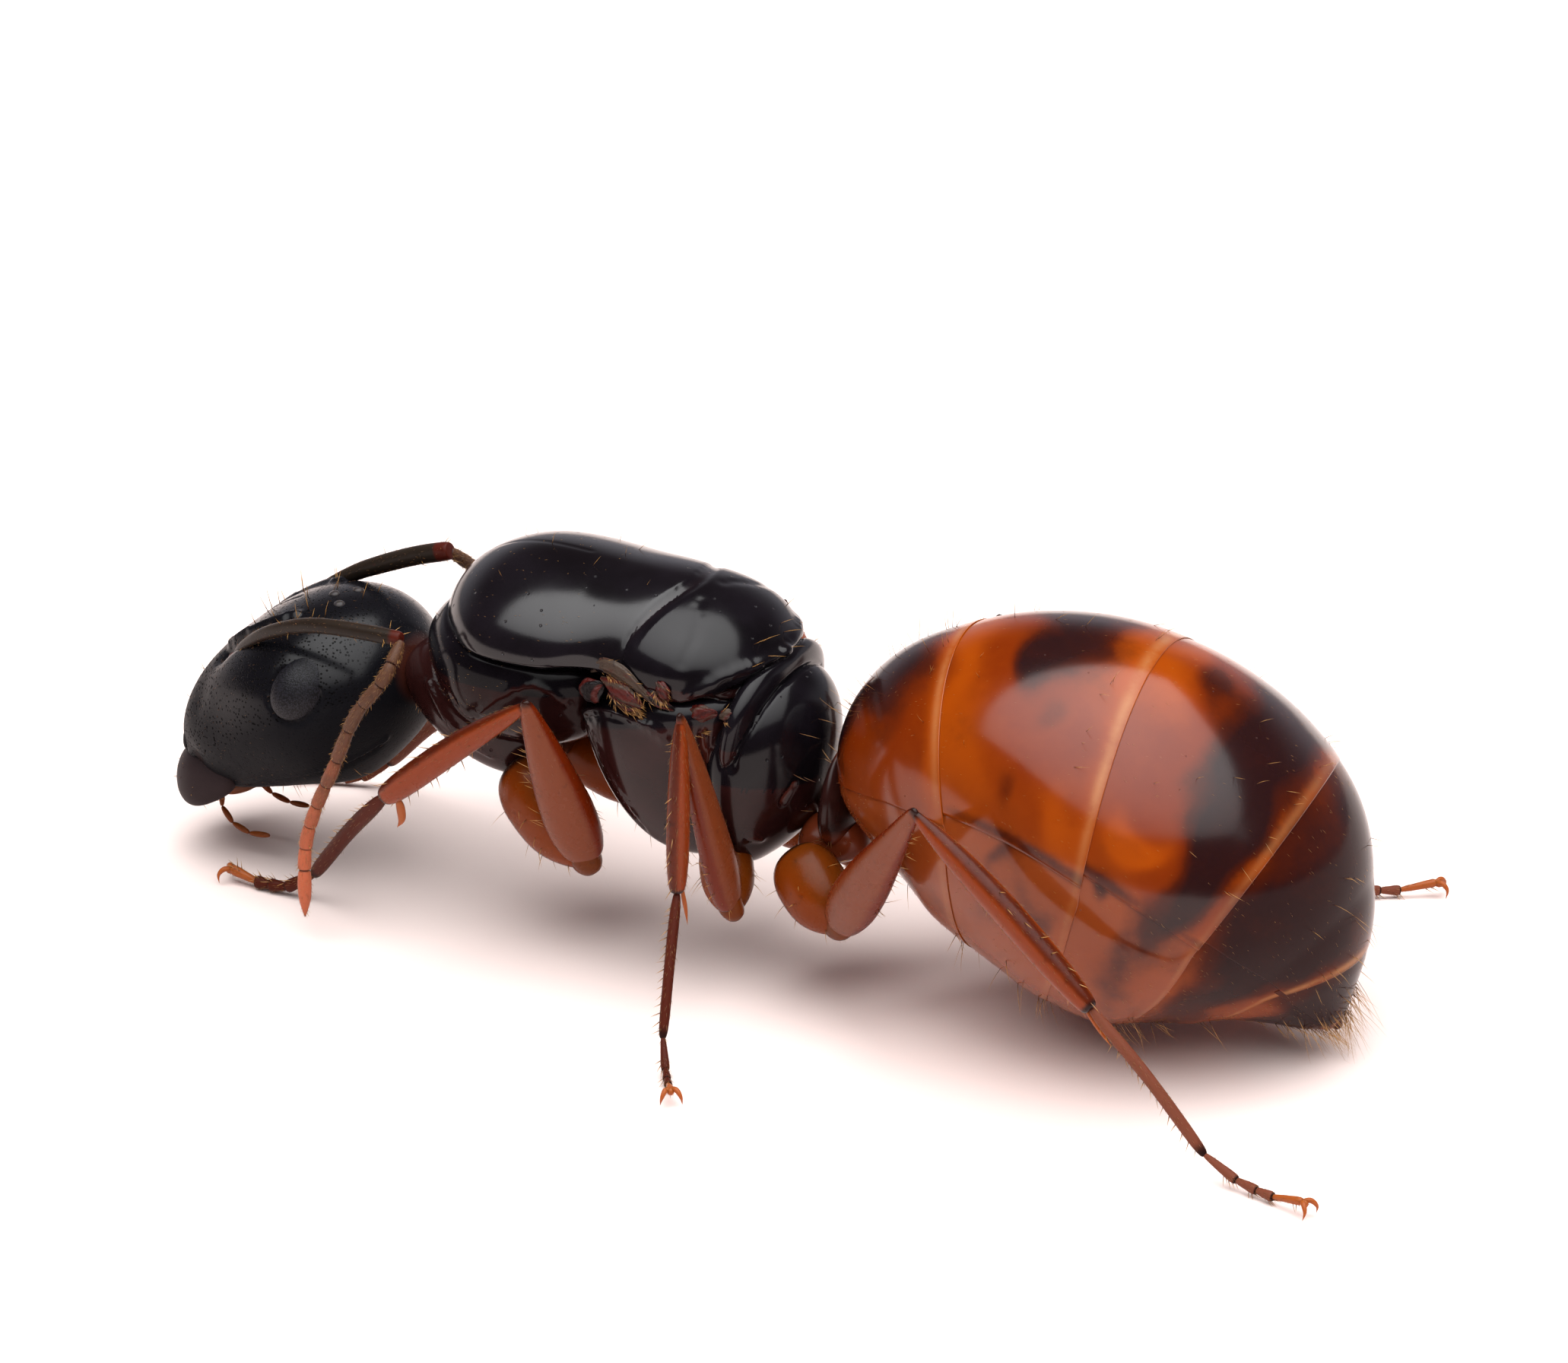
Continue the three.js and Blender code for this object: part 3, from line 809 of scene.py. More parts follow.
def joined(name: str, meshes: Sequence[bpy.types.Mesh]) -> bpy.types.Mesh:
    """Joins meshes into one, with their marks.

    Args:
        name: The new mesh's name.
        meshes: Meshes in the row frame.

    Returns:
        The joined mesh.
    """
    starts = np.cumsum([0] + [len(m.vertices) for m in meshes])
    points = np.concatenate([read(m.vertices, "co", 3) for m in meshes])
    corners = np.concatenate([
        read(m.loops, "vertex_index", 1) + start for m, start in zip(meshes, starts)
    ])
    totals = np.concatenate([read(m.polygons, "loop_total", 1).astype(np.int32) for m in meshes])
    made = woven(name, points, corners, totals)
    names = sorted({a.name for m in meshes for a in m.attributes if a.data_type == "FLOAT"})
    for mark in names:
        parts = []
        for mesh in meshes:
            layer = mesh.attributes.get(mark)
            parts.append(read(layer.data, "value", 1) if layer else np.zeros(len(mesh.vertices)))
        write_marks(made, {mark: np.concatenate(parts)})
    return made


def settle(name: str, mesh: bpy.types.Mesh, material: bpy.types.Material,
           nodes: Sequence[str] = ()) -> bpy.types.Object:
    """Makes the finished piece.

    Args:
        name: The piece's name.
        mesh: Its mesh, in the row frame.
        material: Its material.
        nodes: The frame's nodes that it stands for.

    Returns:
        The piece's object.
    """
    mesh.name = name
    mesh.materials.clear()
    mesh.materials.append(material)
    piece = bpy.data.objects.new(name, mesh)
    bpy.context.scene.collection.objects.link(piece)
    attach(piece, BODY)
    if nodes:
        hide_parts(*nodes)
    mesh.calc_loop_triangles()
    LOG.info("%s: %d triangles", name, len(mesh.loop_triangles))
    return piece


def fill_valley(first: Skin, second: Skin, reach: float) -> None:
    """Raises two plates where they meet, so that they run on in one surface.

    Args:
        first: One plate.
        second: The other plate.
        reach: How far from the seam they start to rise.
    """
    trees = (first.tree(), second.tree())
    for skin, other in ((first, trees[1]), (second, trees[0])):
        normals = skin.normals()
        rise = np.zeros(len(skin.points))
        for i, point in enumerate(skin.points):
            hit = other.find_nearest(Vector(point), reach)
            if hit[0] is not None:
                inside = (Vector(point) - hit[0]).dot(hit[1]) < 0
                rise[i] = max(1 - hit[3] / (reach * 0.3 if inside else reach), 0) ** 2
        skin.points += normals * (rise * reach / 4)[:, None]


def close_seams(skins: dict[str, Skin], width: float, depth: float, rim: float) -> None:
    """Rounds each plate down into the seam where it meets another one.

    Args:
        skins: The plates by name.
        width: How far from a seam a plate starts to round.
        depth: How deep it goes at the seam.
        rim: How strongly the seam's edges show through.
    """
    trees = {name: skin.tree() for name, skin in skins.items()}
    boxes = {name: (skin.points.min(0), skin.points.max(0)) for name, skin in skins.items()}
    moves = {}
    for name, skin in skins.items():
        normals = skin.normals()
        weight = np.zeros(len(skin.points))
        for other, tree in trees.items():
            if other == name:
                continue
            low, high = boxes[other]
            near = np.all((skin.points > low - width) & (skin.points < high + width), axis=1)
            for i in np.flatnonzero(near):
                hit = tree.find_nearest(Vector(skin.points[i]), width)
                if hit[0] is not None:
                    weight[i] = max(weight[i], (1 - hit[3] / width) ** 2)
        moves[name] = (normals, weight)
    for name, (normals, weight) in moves.items():
        skins[name].points -= normals * (depth * weight)[:, None]
        skins[name].mark("rim", weight * rim)


# ---------------------------------------------------------------- hair


@dataclass(frozen=True)
class Brush:
    """How the hairs of one patch grow."""

    length: float
    root: float = 0.007
    lean: float = 0.45
    curl: float = 0.12
    vary: float = 0.35
    shade: float = 0.0
    fine: bool = False


def ring_edges(shape: bmesh.types.BMesh, ring: Sequence[bmesh.types.BMVert]) -> list[bmesh.types.BMEdge]:
    """The edges that run between a ring's points."""
    return [edge for edge in shape.edges if all(vertex in ring for vertex in edge.verts)]


def hair_shape(sides: int, steps: int) -> tuple[np.ndarray, np.ndarray]:
    """One hair of length 1 and radius 1, as points and the corners of its faces.

    Args:
        sides: Faces around it.
        steps: Stretches along it.

    Returns:
        The points, and the triangles by their corners.
    """
    shape = bmesh.new()
    ring = bmesh.ops.create_circle(shape, segments=sides, radius=1.0, cap_ends=True)["verts"]
    bmesh.ops.recalc_face_normals(shape, faces=list(shape.faces))
    for step in range(1, steps):
        loop = bmesh.ops.extrude_edge_only(shape, edges=ring_edges(shape, ring))
        ring = [v for v in loop["geom"] if isinstance(v, bmesh.types.BMVert)]
        for vertex in ring:
            size = 1 - (step / steps) ** 1.5
            flat = Vector((vertex.co.x, vertex.co.y, 0)).normalized() * size
            vertex.co = (flat.x, flat.y, step / steps)
    tip = bmesh.ops.extrude_edge_only(shape, edges=ring_edges(shape, ring))
    points = [v for v in tip["geom"] if isinstance(v, bmesh.types.BMVert)]
    for vertex in points:
        vertex.co = (0, 0, 1)
    bmesh.ops.remove_doubles(shape, verts=list(shape.verts), dist=1e-5)
    bmesh.ops.triangulate(shape, faces=list(shape.faces))
    bmesh.ops.recalc_face_normals(shape, faces=list(shape.faces))
    shape.verts.index_update()
    places = np.array([v.co for v in shape.verts])
    corners = np.array([[v.index for v in face.verts] for face in shape.faces])
    shape.free()
    return places, corners


class Coat:
    """The hairs of one part of the body, joined into one mesh."""

    THICK = hair_shape(4, 4)
    THIN = hair_shape(3, 2)

    def __init__(self, part: str, seed: int, cells: int = 1) -> None:
        """Args: part: The part of the body. seed: Seed of its scatter. cells: Room for so many skins."""
        self.part = part
        self.chance = np.random.default_rng(seed)
        self.columns = math.ceil(math.sqrt(cells))
        self.cell = -1
        self.patches: list[tuple[np.ndarray, ...]] = []
        self.total = 0

    def skin(self) -> "Coat":
        """Starts on the next skin, which has its own part of the unwrap."""
        self.cell += 1
        return self

    def scatter(self, form: Form, count: int, shares: tuple[float, float], degrees: tuple[float, float],
                brush: Brush, lift: float = 0.0) -> "Coat":
        """Grows hairs at random in a window of a form.

        Args:
            form: The form they grow on.
            count: How many hairs.
            shares: The window along the spine.
            degrees: The window around it.
            brush: How they grow.
            lift: How far the skin stands over the form.

        Returns:
            The coat itself.
        """
        along_it = self.chance.uniform(*shares, count)
        around = np.radians(self.chance.uniform(*degrees, count))
        return self.grow(form, along_it, around, brush, lift)

    def grow(self, form: Form, shares: np.ndarray, turns: np.ndarray, brush: Brush,
             lift: float = 0.0) -> "Coat":
        """Grows one hair at each place of a form, and lays its patch at its root's place of the unwrap."""
        chance = self.chance
        count = len(shares)
        outward, back = form.normals(shares, turns)
        roots = form.place(shares, turns) + outward * (lift - brush.root)
        lean = np.clip(brush.lean + chance.normal(0, 0.12, count), 0.02, 0.97)[:, None]
        way = unit(outward * (1 - lean) + back * lean + chance.normal(0, 0.12, (count, 3)))
        length = brush.length * (1 + brush.vary * chance.uniform(-1, 1, count))
        curl = (back * 0.8 - outward * 0.35) * brush.curl + chance.normal(0, 0.04, (count, 3))
        side = unit(np.cross(way, outward + [0.01, 0.02, 0.03]))
        front = np.cross(side, way)
        template, corners = self.THIN if brush.fine else self.THICK
        x, y, s = (template[:, axis][None, :, None] for axis in range(3))
        reach, hook = way * length[:, None], curl * length[:, None]
        stem = roots[:, None] + reach[:, None] * s + hook[:, None] * s ** 2
        radius = brush.root * chance.uniform(0.75, 1.15, count)
        spread = side[:, None] * x + front[:, None] * y
        points = stem + spread * radius[:, None, None]
        starts = self.total + np.arange(count) * len(template)
        faces = corners[None] + starts[:, None, None]
        self.total += count * len(template)
        tips = np.tile(template[:, 2], count)
        shades = np.repeat(np.clip(brush.shade + chance.normal(0, 0.1, count), 0, 1), len(template))
        size = 1 / self.columns
        corner = np.array([self.cell % self.columns, self.cell // self.columns]) * size
        home = np.stack([(turns / (2 * np.pi)) % 1.0, shares], axis=1)
        home = corner + (BAKE_MARGIN + home * (1 - 2 * BAKE_MARGIN)) * (size - BAKE_PATCH)
        patch = np.stack([template[:, 0] * 0.5 + 0.5, template[:, 2]], axis=1) * BAKE_PATCH
        unwrap = (home[:, None] + patch[None]).reshape(-1, 2)
        self.patches.append((points.reshape(-1, 3), faces.reshape(-1, 3), tips, shades, unwrap))
        return self

    def finish(self) -> bpy.types.Object:
        """Joins the hairs into the finished piece."""
        points, faces, tips, shades, unwrap = (np.concatenate(column) for column in zip(*self.patches))
        points = LAND.here(points)
        points[:, 2] = np.maximum(points[:, 2], FLOOR_GAP * MM)
        corners = faces.ravel()
        name = "coat_" + self.part
        mesh = woven(name, points, corners, np.full(len(faces), 3))
        write_marks(mesh, {"tip": tips, "shade": shades})
        layer = mesh.uv_layers.new(name=BAKE_MAP)
        layer.data.foreach_set("uv", unwrap[corners].ravel())
        return settle(name, mesh, HAIR_GOLD.material("hair_" + self.part))


# ---------------------------------------------------------------- head


@dataclass(frozen=True)
class Eye:
    """One compound eye, an oval lens set in a shallow ring."""

    side: Side
    centre: Point = (-5.16, 1.42, 3.075)
    length: float = 0.385
    breadth: float = 0.322
    bulge: float = 0.1
    lean: float = 22.0

    def oval(self, across: np.ndarray, upward: np.ndarray) -> np.ndarray:
        """Points of the eye's plane, from its two half sizes as units."""
        lean = math.radians(self.lean)
        x = across * self.breadth * math.cos(lean) + upward * self.length * math.sin(lean)
        z = upward * self.length * math.cos(lean) - across * self.breadth * math.sin(lean)
        out = np.stack([x, np.zeros_like(x), z], axis=1) + self.centre
        return out * [1, self.side.value, 1]

    def ring(self, grow: float) -> tuple[Point, ...]:
        """A closed line round the eye, larger than it by a share."""
        turn = np.linspace(0, 2 * np.pi, 17)
        return tuple(tuple(p) for p in self.oval(np.cos(turn) * grow, np.sin(turn) * grow))

    def build(self, head: BVHTree) -> bpy.types.Object:
        """Builds the lens where it sits on the head.

        Args:
            head: The head's surface.

        Returns:
            The piece.
        """
        mesh = ball_mesh(64, 96, "eye")
        ball = read(mesh.vertices, "co", 3)
        flat = self.oval(ball[:, 0], ball[:, 2])
        inward = Vector((0, -self.side.value, 0))
        seats = [head.ray_cast(Vector((p[0], 4 * self.side.value, p[2])), inward)[0] for p in flat]
        out = ball[:, 1] * self.side.value
        rise = np.where(out > 0, self.bulge * out ** 1.15, self.bulge * out)
        points = np.array(seats) + np.outer(rise, [0, self.side.value, 0.12])
        land(mesh, points, {"rim": smooth(np.hypot(ball[:, 0], ball[:, 2]), 0.95, 1.0)})
        name = "eye_" + self.side.label
        return settle(name + "_lens", mesh, EYE_GREY.material(name), [name])


@dataclass(frozen=True)
class Head:
    """Head capsule with its clypeus, jaws, eyes, ocelli and mouth."""

    capsule: Form = Form(
        spine=((-7.26, 0, 1.14), (-6.35, 0, 2.0), (-5.3, 0, 2.68), (-4.12, 0, 3.08)),
        width=(1.02, 1.34, 1.58, 1.4),
        up=(0.82, 1.03, 1.185, 1.11),
        down=(0.76, 1.05, 1.33, 1.2),
        square=2.15,
        ends=(2.8, 2.5),
    )
    clypeus: Form = Form(
        spine=((-7.3, 0, 1.3), (-7.14, 0, 1.84), (-6.84, 0, 2.34)),
        width=(0.82, 0.76, 0.42),
        up=(0.14, 0.2, 0.14),
        down=(0.2, 0.22, 0.2),
        square=2.2,
        ends=(2.6, 2.4),
    )
    jaw_spine: tuple[Point, ...] = (
        (-7.46, 0.08, 0.84), (-7.34, 0.42, 1.04), (-7.0, 0.76, 1.22), (-6.4, 0.92, 1.36),
    )
    jaw_up: tuple[float, ...] = (0.2, 0.36, 0.42, 0.3)
    jaw_down: tuple[float, ...] = (0.38, 0.38, 0.3, 0.2)
    palp_spine: tuple[Point, ...] = (
        (-6.94, 0.36, 0.95), (-6.88, 0.46, 0.66), (-6.7, 0.5, 0.48), (-6.44, 0.52, 0.4), (-6.14, 0.5, 0.42),
    )
    ocelli: tuple[Point, ...] = ((-5.42, 0.0, 3.86), (-5.15, 0.28, 3.86), (-5.15, -0.28, 3.86))

    def strokes(self) -> list[Stroke]:
        """Grooves and ridges of the capsule."""
        return [
            Stroke(((-6.6, -0.5, 3.02), (-6.28, -0.58, 3.3), (-5.95, -0.6, 3.5), (-5.6, -0.58, 3.68)),
                   0.06, -0.07),
            Stroke(((-6.6, -0.66, 2.95), (-6.28, -0.72, 3.22), (-5.95, -0.74, 3.42)), 0.09, 0.07),
            Stroke(((-4.24, -0.69, 2.3), (-4.5, -0.97, 2.1), (-4.88, -1.22, 1.95), (-5.41, -1.24, 1.72),
                    (-6.19, -1.0, 1.33), (-6.7, -0.9, 1.0)), 0.04, -0.035),
            Stroke(((-4.3, -0.75, 2.18), (-4.56, -1.0, 2.0), (-4.94, -1.24, 1.84), (-5.45, -1.2, 1.62),
                    (-6.2, -0.95, 1.24)), 0.06, 0.04, 0.15),
            Stroke(((-7.0, 0, 2.7), (-6.4, 0, 3.28), (-5.9, 0, 3.62)), 0.03, 0.02, 0.0, False),
            Stroke(((-4.05, -0.9, 3.9), (-3.85, -0.6, 3.4), (-3.8, -0.5, 2.9)), 0.06, 0.03, 0.5),
        ]

    def dents(self) -> list[Dent]:
        """Hollows of the capsule round the feelers' sockets, and the swelling behind the eye."""
        return [
            Dent((-6.58, -0.62, 2.86), 0.17, 0.14, 0.2),
            Dent((-6.85, -0.95, 2.35), 0.25, 0.05),
            Dent((-7.0, -1.0, 1.5), 0.2, 0.06, 0.4),
            Dent((-4.45, -1.45, 2.8), 0.7, -0.08),
        ]

    def build_capsule(self) -> bpy.types.Object:
        """Builds the capsule with its punctures, carinae and eye rings."""
        skin = Skin(self.capsule, 230, 260)
        rings = [Stroke(Eye(side).ring(1.03), 0.045, 0.035, 0.0, False) for side in Side]
        skin.carve(self.strokes() + rings, self.dents())
        top = np.degrees(skin.turns)
        skin.mark("smooth", smooth(skin.shares, 0.82, 0.98) * 0.8)
        skin.mark("smooth", smooth(-top, 60, 90) * 0.8)
        skin.mark("rim", smooth(skin.shares, 0.965, 1.0) * 0.7)
        skin.mark("wet", smooth(np.sin(skin.turns), -0.1, 0.4) * smooth(skin.shares, 0.3, 0.5))
        return settle("head_capsule_shell", skin.done(), HEAD_BLACK.material("head_black"),
                      ["head_capsule"])

    def build_ocelli(self) -> bpy.types.Object:
        """Builds the three simple eyes on the crown, each a lens in a low ring."""
        parts = []
        head = Skin(self.capsule, 90, 120)
        normals = head.normals()
        for place in self.ocelli:
            nearest = int(np.argmin(((head.points - place) ** 2).sum(1)))
            root, out = head.points[nearest], normals[nearest]
            line = (root - out * 0.06, root + out * 0.035)
            lens = Skin(rod(line, (0.08, 0.075), ends=(2.0, 2.0), across=(0.9, 0.3, 0.1)), 20, 32)
            parts.append(lens.mark("joint", smooth(1 - lens.shares, 0.35, 0.6)).done())
        return settle("ocelli", joined("ocelli", parts), OCELLUS_GLASS.material("ocellus_glass"))

    def build_clypeus(self) -> bpy.types.Object:
        """Builds the plate over the mouth."""
        skin = Skin(self.clypeus, 70, 100)
        skin.carve([Stroke(((-7.6, 0, 1.4), (-7.5, 0, 1.9), (-7.15, 0, 2.4)), 0.06, -0.04, 0.0, False)])
        skin.mark("rim", smooth(1 - skin.shares, 0.9, 1.0) * 0.6)
        material = HEAD_BLACK.material("clypeus_black")
        return settle("clypeus_plate", skin.done(), material, ["clypeus"])

    def jaw_form(self, side: Side) -> Form:
        """The blade of one mandible, thin from its outer face to its inner one."""
        thin = (0.12, 0.2, 0.22, 0.2)
        spine = mirrored(self.jaw_spine, side)
        return Form(spine, thin, self.jaw_up, self.jaw_down, 2.0, (3.6, 3.0), (-0.7, 0.7 * side.value, 0.25))

    def build_jaw(self, side: Side) -> bpy.types.Object:
        """Builds one mandible with the teeth of its inner edge."""
        skin = Skin(self.jaw_form(side), 80, 90)
        skin.mark("smooth", 1.0)
        skin.mark("rim", smooth(skin.shares, 0.84, 0.98) * 0.2)
        parts = [skin.done()]
        for step in range(5):
            share = step / 4
            x = -7.5 + 0.16 * share
            y = side.value * (0.08 + 0.3 * share)
            z = 0.7 + 0.06 * share
            tooth = rod(((x, y, z), (x + 0.02, y * 0.7, z - 0.2)), (0.06, 0.03), ends=(2.4, 1.6))
            part = Skin(tooth, 12, 14)
            parts.append(part.mark("smooth", 1.0).done())
        name = "mandible_" + side.label
        return settle(name + "_blade", joined(name, parts), JAW_GREY.material(name), [name])

    def build_palp(self, side: Side) -> bpy.types.Object:
        """Builds one palp of four joints."""
        spine = mirrored(self.palp_spine, side)
        parts = []
        for start, end in zip(spine[:-1], spine[1:]):
            joint = Skin(rod((start, end), (0.032, 0.04, 0.034)), 18, 20)
            parts.append(joint.mark("joint", smooth(np.abs(joint.shares - 0.5), 0.4, 0.5) * 0.5).done())
        name = "palp_" + side.label
        material = MOUTH_ORANGE.material(name)
        return settle(name + "_joints", joined(name, parts), material, [name])

    def build_mouth(self) -> bpy.types.Object:
        """Builds the soft parts behind the jaws."""
        tongue = rod(((-7.36, 0, 1.0), (-6.95, 0, 0.9), (-6.5, 0, 1.0)), (0.12, 0.18, 0.16), 1.5)
        parts = [Skin(tongue, 40, 40).done()]
        for side in Side:
            line = mirrored(((-7.1, 0.2, 0.96), (-6.86, 0.34, 0.92), (-6.4, 0.42, 1.08)), side)
            skin = Skin(rod(line, (0.08, 0.12, 0.1)), 36, 30)
            parts.append(skin.mark("edge", smooth(skin.shares, 0.4, 1.0)).done())
        return settle("mouth", joined("mouth", parts), MOUTH_ORANGE.material("mouth_orange"))

    def grow_hair(self) -> bpy.types.Object:
        """Grows the hairs of the head."""
        coat = Coat("head", SEEDS["head"], 4)
        coat.skin()
        coat.scatter(self.capsule, 18, (0.5, 0.86), (62, 118), Brush(0.36, 0.0065, 0.12, 0.1))
        coat.scatter(self.capsule, 10, (0.12, 0.45), (60, 120), Brush(0.2, 0.005, 0.2, 0.15))
        coat.scatter(self.capsule, 900, (0.12, 0.92), (-60, 240),
                     Brush(0.05, 0.0015, 0.8, 0.1, shade=0.7, fine=True))
        coat.scatter(self.capsule, 14, (0.25, 0.8), (-130, -50), Brush(0.2, 0.005, 0.2, 0.15))
        coat.skin()
        coat.scatter(self.clypeus, 40, (0.03, 0.5), (200, 340), Brush(0.16, 0.006, 0.35, 0.2))
        coat.scatter(self.clypeus, 60, (0.05, 0.9), (200, 340), Brush(0.08, 0.004, 0.5, 0.2, fine=True))
        for side in Side:
            coat.skin()
            coat.scatter(self.jaw_form(side), 60, (0.1, 0.9), (0, 360),
                         Brush(0.09, 0.004, 0.6, 0.2, fine=True))
        return coat.finish()

    def build(self) -> None:
        """Builds the whole head."""
        self.build_capsule()
        self.build_ocelli()
        self.build_clypeus()
        for side in Side:
            Eye(side).build(Skin(self.capsule, 120, 140).tree())
            self.build_jaw(side)
            self.build_palp(side)
        self.build_mouth()
        self.grow_hair()


@dataclass(frozen=True)
class Feeler:
    """One antenna: a long scape from the socket to the elbow, and a lash of eleven joints.

    girth widens the scape, and bulb is the share of it at which its dark end begins.
    """

    side: Side
    scape: tuple[Point, ...]
    lash: tuple[Point, ...]
    joints: int = 11
    lash_radius: float = 0.088
    girth: float = 1.0
    bulb: float = 0.97

    def scape_form(self) -> Form:
        """The shaft from just past its neck to the elbow."""
        radii = tuple(radius * self.girth for radius in (0.06, 0.07, 0.088, 0.1, 0.104, 0.108))
        return rod(self.scape, radii, 0.9, ends=(3.0, 12.0))

    def lash_form(self, index: int) -> Form:
        """One joint of the lash, a little wider at its far end."""
        edges = np.linspace(0, 1, self.joints + 1) ** 0.97
        edges[self.joints - 1] -= 0.03
        edges[1:-1] += 0.004
        start, end = edges[index], edges[index + 1]
        spine = along(self.lash, np.linspace(start, min(end + 0.002, 1.0), 4))
        size = self.lash_radius
        last = index == self.joints - 1
        radii = (size * 0.9, size * 0.98, size)
        if index == 0:
            radii = (size * 0.62, size * 0.85, size * 0.98)
        if last:
            radii = (size * 0.95, size * 1.02, size * 0.85, size * 0.3)
        return rod(spine, radii, ends=(6.0, 2.2 if last else 8.0))

    def build_scape(self) -> bpy.types.Object:
        """Builds the scape and the small ball it turns on."""
        skin = Skin(self.scape_form(), 90, 36)
        skin.mark("joint", smooth(1 - skin.shares, 0.9, 0.98))
        skin.mark("joint", smooth(skin.shares, self.bulb - 0.02, self.bulb + 0.02))
        skin.mark("edge", np.abs(np.sin(skin.turns)) * 0.6)
        start = np.array(self.scape[0])
        way = unit(np.array(self.scape[1]) - start)
        neck = rod((start - way * 0.16, start + way * 0.1), (0.05, 0.07), ends=(2.0, 2.0))
        ball = Skin(neck, 18, 24)
        ball.mark("joint", 1.0)
        name = "scape_" + self.side.label
        mesh = joined(name, [skin.done(), ball.done()])
        return settle(name + "_shaft", mesh, SCAPE_OLIVE.material(name), [name])

    def build_lash(self) -> bpy.types.Object:
        """Builds the joints of the lash."""
        parts = []
        for index in range(self.joints):
            skin = Skin(self.lash_form(index), 22, 24)
            skin.mark("joint", smooth(np.abs(skin.shares - 0.5), 0.4, 0.5) * 0.8)
            skin.mark("edge", 1.1 * index / self.joints - 0.1)
            parts.append(skin.done())
        name = "funiculus_" + self.side.label
        material = LASH_BROWN.material(name)
        return settle(name + "_joints", joined(name, parts), material, [name])

    def grow_hair(self) -> bpy.types.Object:
        """Grows the short down of the antenna."""
        seed = SEEDS["feeler"] + self.side.value
        coat = Coat("feeler_" + self.side.label, seed, self.joints + 1)
        coat.skin()
        coat.scatter(self.scape_form(), 300, (0.08, 0.97), (0, 360),
                     Brush(0.05, 0.0017, 0.7, shade=0.5, fine=True))
        coat.scatter(self.scape_form(), 10, (0.1, 0.95), (0, 360), Brush(0.14, 0.005, 0.3))
        coat.scatter(self.scape_form(), 7, (0.95, 0.985), (0, 360), Brush(0.13, 0.006, 0.25))
        for index in range(self.joints):
            coat.skin()
            coat.scatter(self.lash_form(index), 120, (0.05, 0.97), (0, 360),
                         Brush(0.05, 0.0017, 0.6, shade=0.4, fine=True))
            coat.scatter(self.lash_form(index), 6, (0.75, 0.95), (0, 360),
                         Brush(0.07, 0.004, 0.45, fine=True))
        return coat.finish()

    def build(self) -> None:
        """Builds the whole antenna."""
        self.build_scape()
        self.build_lash()
        self.grow_hair()


FEELERS = (
    Feeler(
        Side.LEFT,
        ((-6.55, -0.62, 2.93), (-6.2, -0.9, 3.3), (-5.72, -1.12, 3.66), (-5.1, -1.3, 3.96), (-4.5, -1.4, 4.1),
         (-3.56, -1.45, 4.17)),
        ((-3.55, -1.47, 4.16), (-3.62, -1.8, 3.75), (-3.98, -1.92, 3.2), (-4.3, -1.96, 2.4),
         (-4.56, -1.98, 1.78), (-4.7, -2.02, 1.2), (-4.64, -2.16, 0.32)),
    ),
    Feeler(
        Side.RIGHT,
        ((-6.58, 0.62, 2.93), (-6.08, 0.82, 3.4), (-5.58, 0.84, 3.74), (-5.1, 0.82, 3.99), (-4.6, 0.78, 4.22),
         (-4.08, 0.72, 4.42)),
        ((-4.1, 0.74, 4.4), (-3.98, 1.2, 4.0), (-3.6, 2.2, 3.1), (-3.36, 2.8, 2.1), (-3.3, 3.2, 1.0)),
        girth=1.22, bulb=0.93,
    ),
)


# ---------------------------------------------------------------- middle body


@dataclass(frozen=True)
class Plate:
    """One plate of the middle body.

    red is how far it is red-brown all over, and underside how far its lower half is.
    """

    name: str
    form: Form
    rings: int = 120
    sides: int = 190
    strokes: tuple[Stroke, ...] = ()
    dents: tuple[Dent, ...] = ()
    red: float = 0.0
    underside: float = 0.4
    gloss: float = SHELL.gloss


SCUTUM = Form(
    spine=((-3.46, 0, 4.18), (-2.4, 0, 4.24), (-1.2, 0, 4.28), (0.02, 0, 4.32)),
    width=(1.15, 1.52, 1.5, 1.24), up=(0.8, 0.97, 0.93, 0.82), down=(0.25, 0.3, 0.3, 0.3),
    square=1.82, ends=(2.8, 4.0),
)
SCUTELLUM = Form(
    spine=((-0.9, 0, 4.25), (0.2, 0, 4.25), (1.18, 0, 4.12)),
    width=(1.2, 1.34, 0.95), up=(0.64, 0.7, 0.52), down=(0.3, 0.35, 0.35), square=2.3, ends=(2.6, 2.6),
)
PRONOTUM = Form(
    spine=((-3.82, 0, 3.62), (-2.9, 0, 3.75), (-1.8, 0, 3.8), (-0.8, 0, 3.8)),
    width=(0.95, 1.42, 1.5, 1.4), up=(0.72, 0.8, 0.7, 0.6), down=(0.7, 1.05, 1.1, 0.9),
    square=2.3, ends=(2.4, 3.0),
)
MESOPLEURON = Form(
    spine=((-1.45, 0, 3.4), (-0.6, 0, 3.6), (0.3, 0, 3.8), (1.1, 0, 3.85)),
    width=(1.2, 1.46, 1.44, 1.15), up=(0.5, 0.55, 0.5, 0.35), down=(1.7, 2.15, 2.2, 1.9),
    square=2.25, ends=(3.0, 3.0),
)
METANOTUM = Form(
    spine=((0.68, 0, 3.6), (0.95, 0, 3.56), (1.22, 0, 3.5)),
    width=(1.12, 1.26, 1.14), up=(0.8, 0.88, 0.8), down=(0.8, 0.85, 0.8), square=2.2, ends=(2.4, 2.4),
)
PROPODEUM = Form(
    spine=((0.3, 0, 2.95), (1.0, 0, 3.0), (1.72, 0, 2.9)),
    width=(1.15, 1.2, 0.8), up=(1.1, 1.24, 0.9), down=(1.2, 1.4, 1.05), square=2.3, ends=(2.8, 3.0),
)
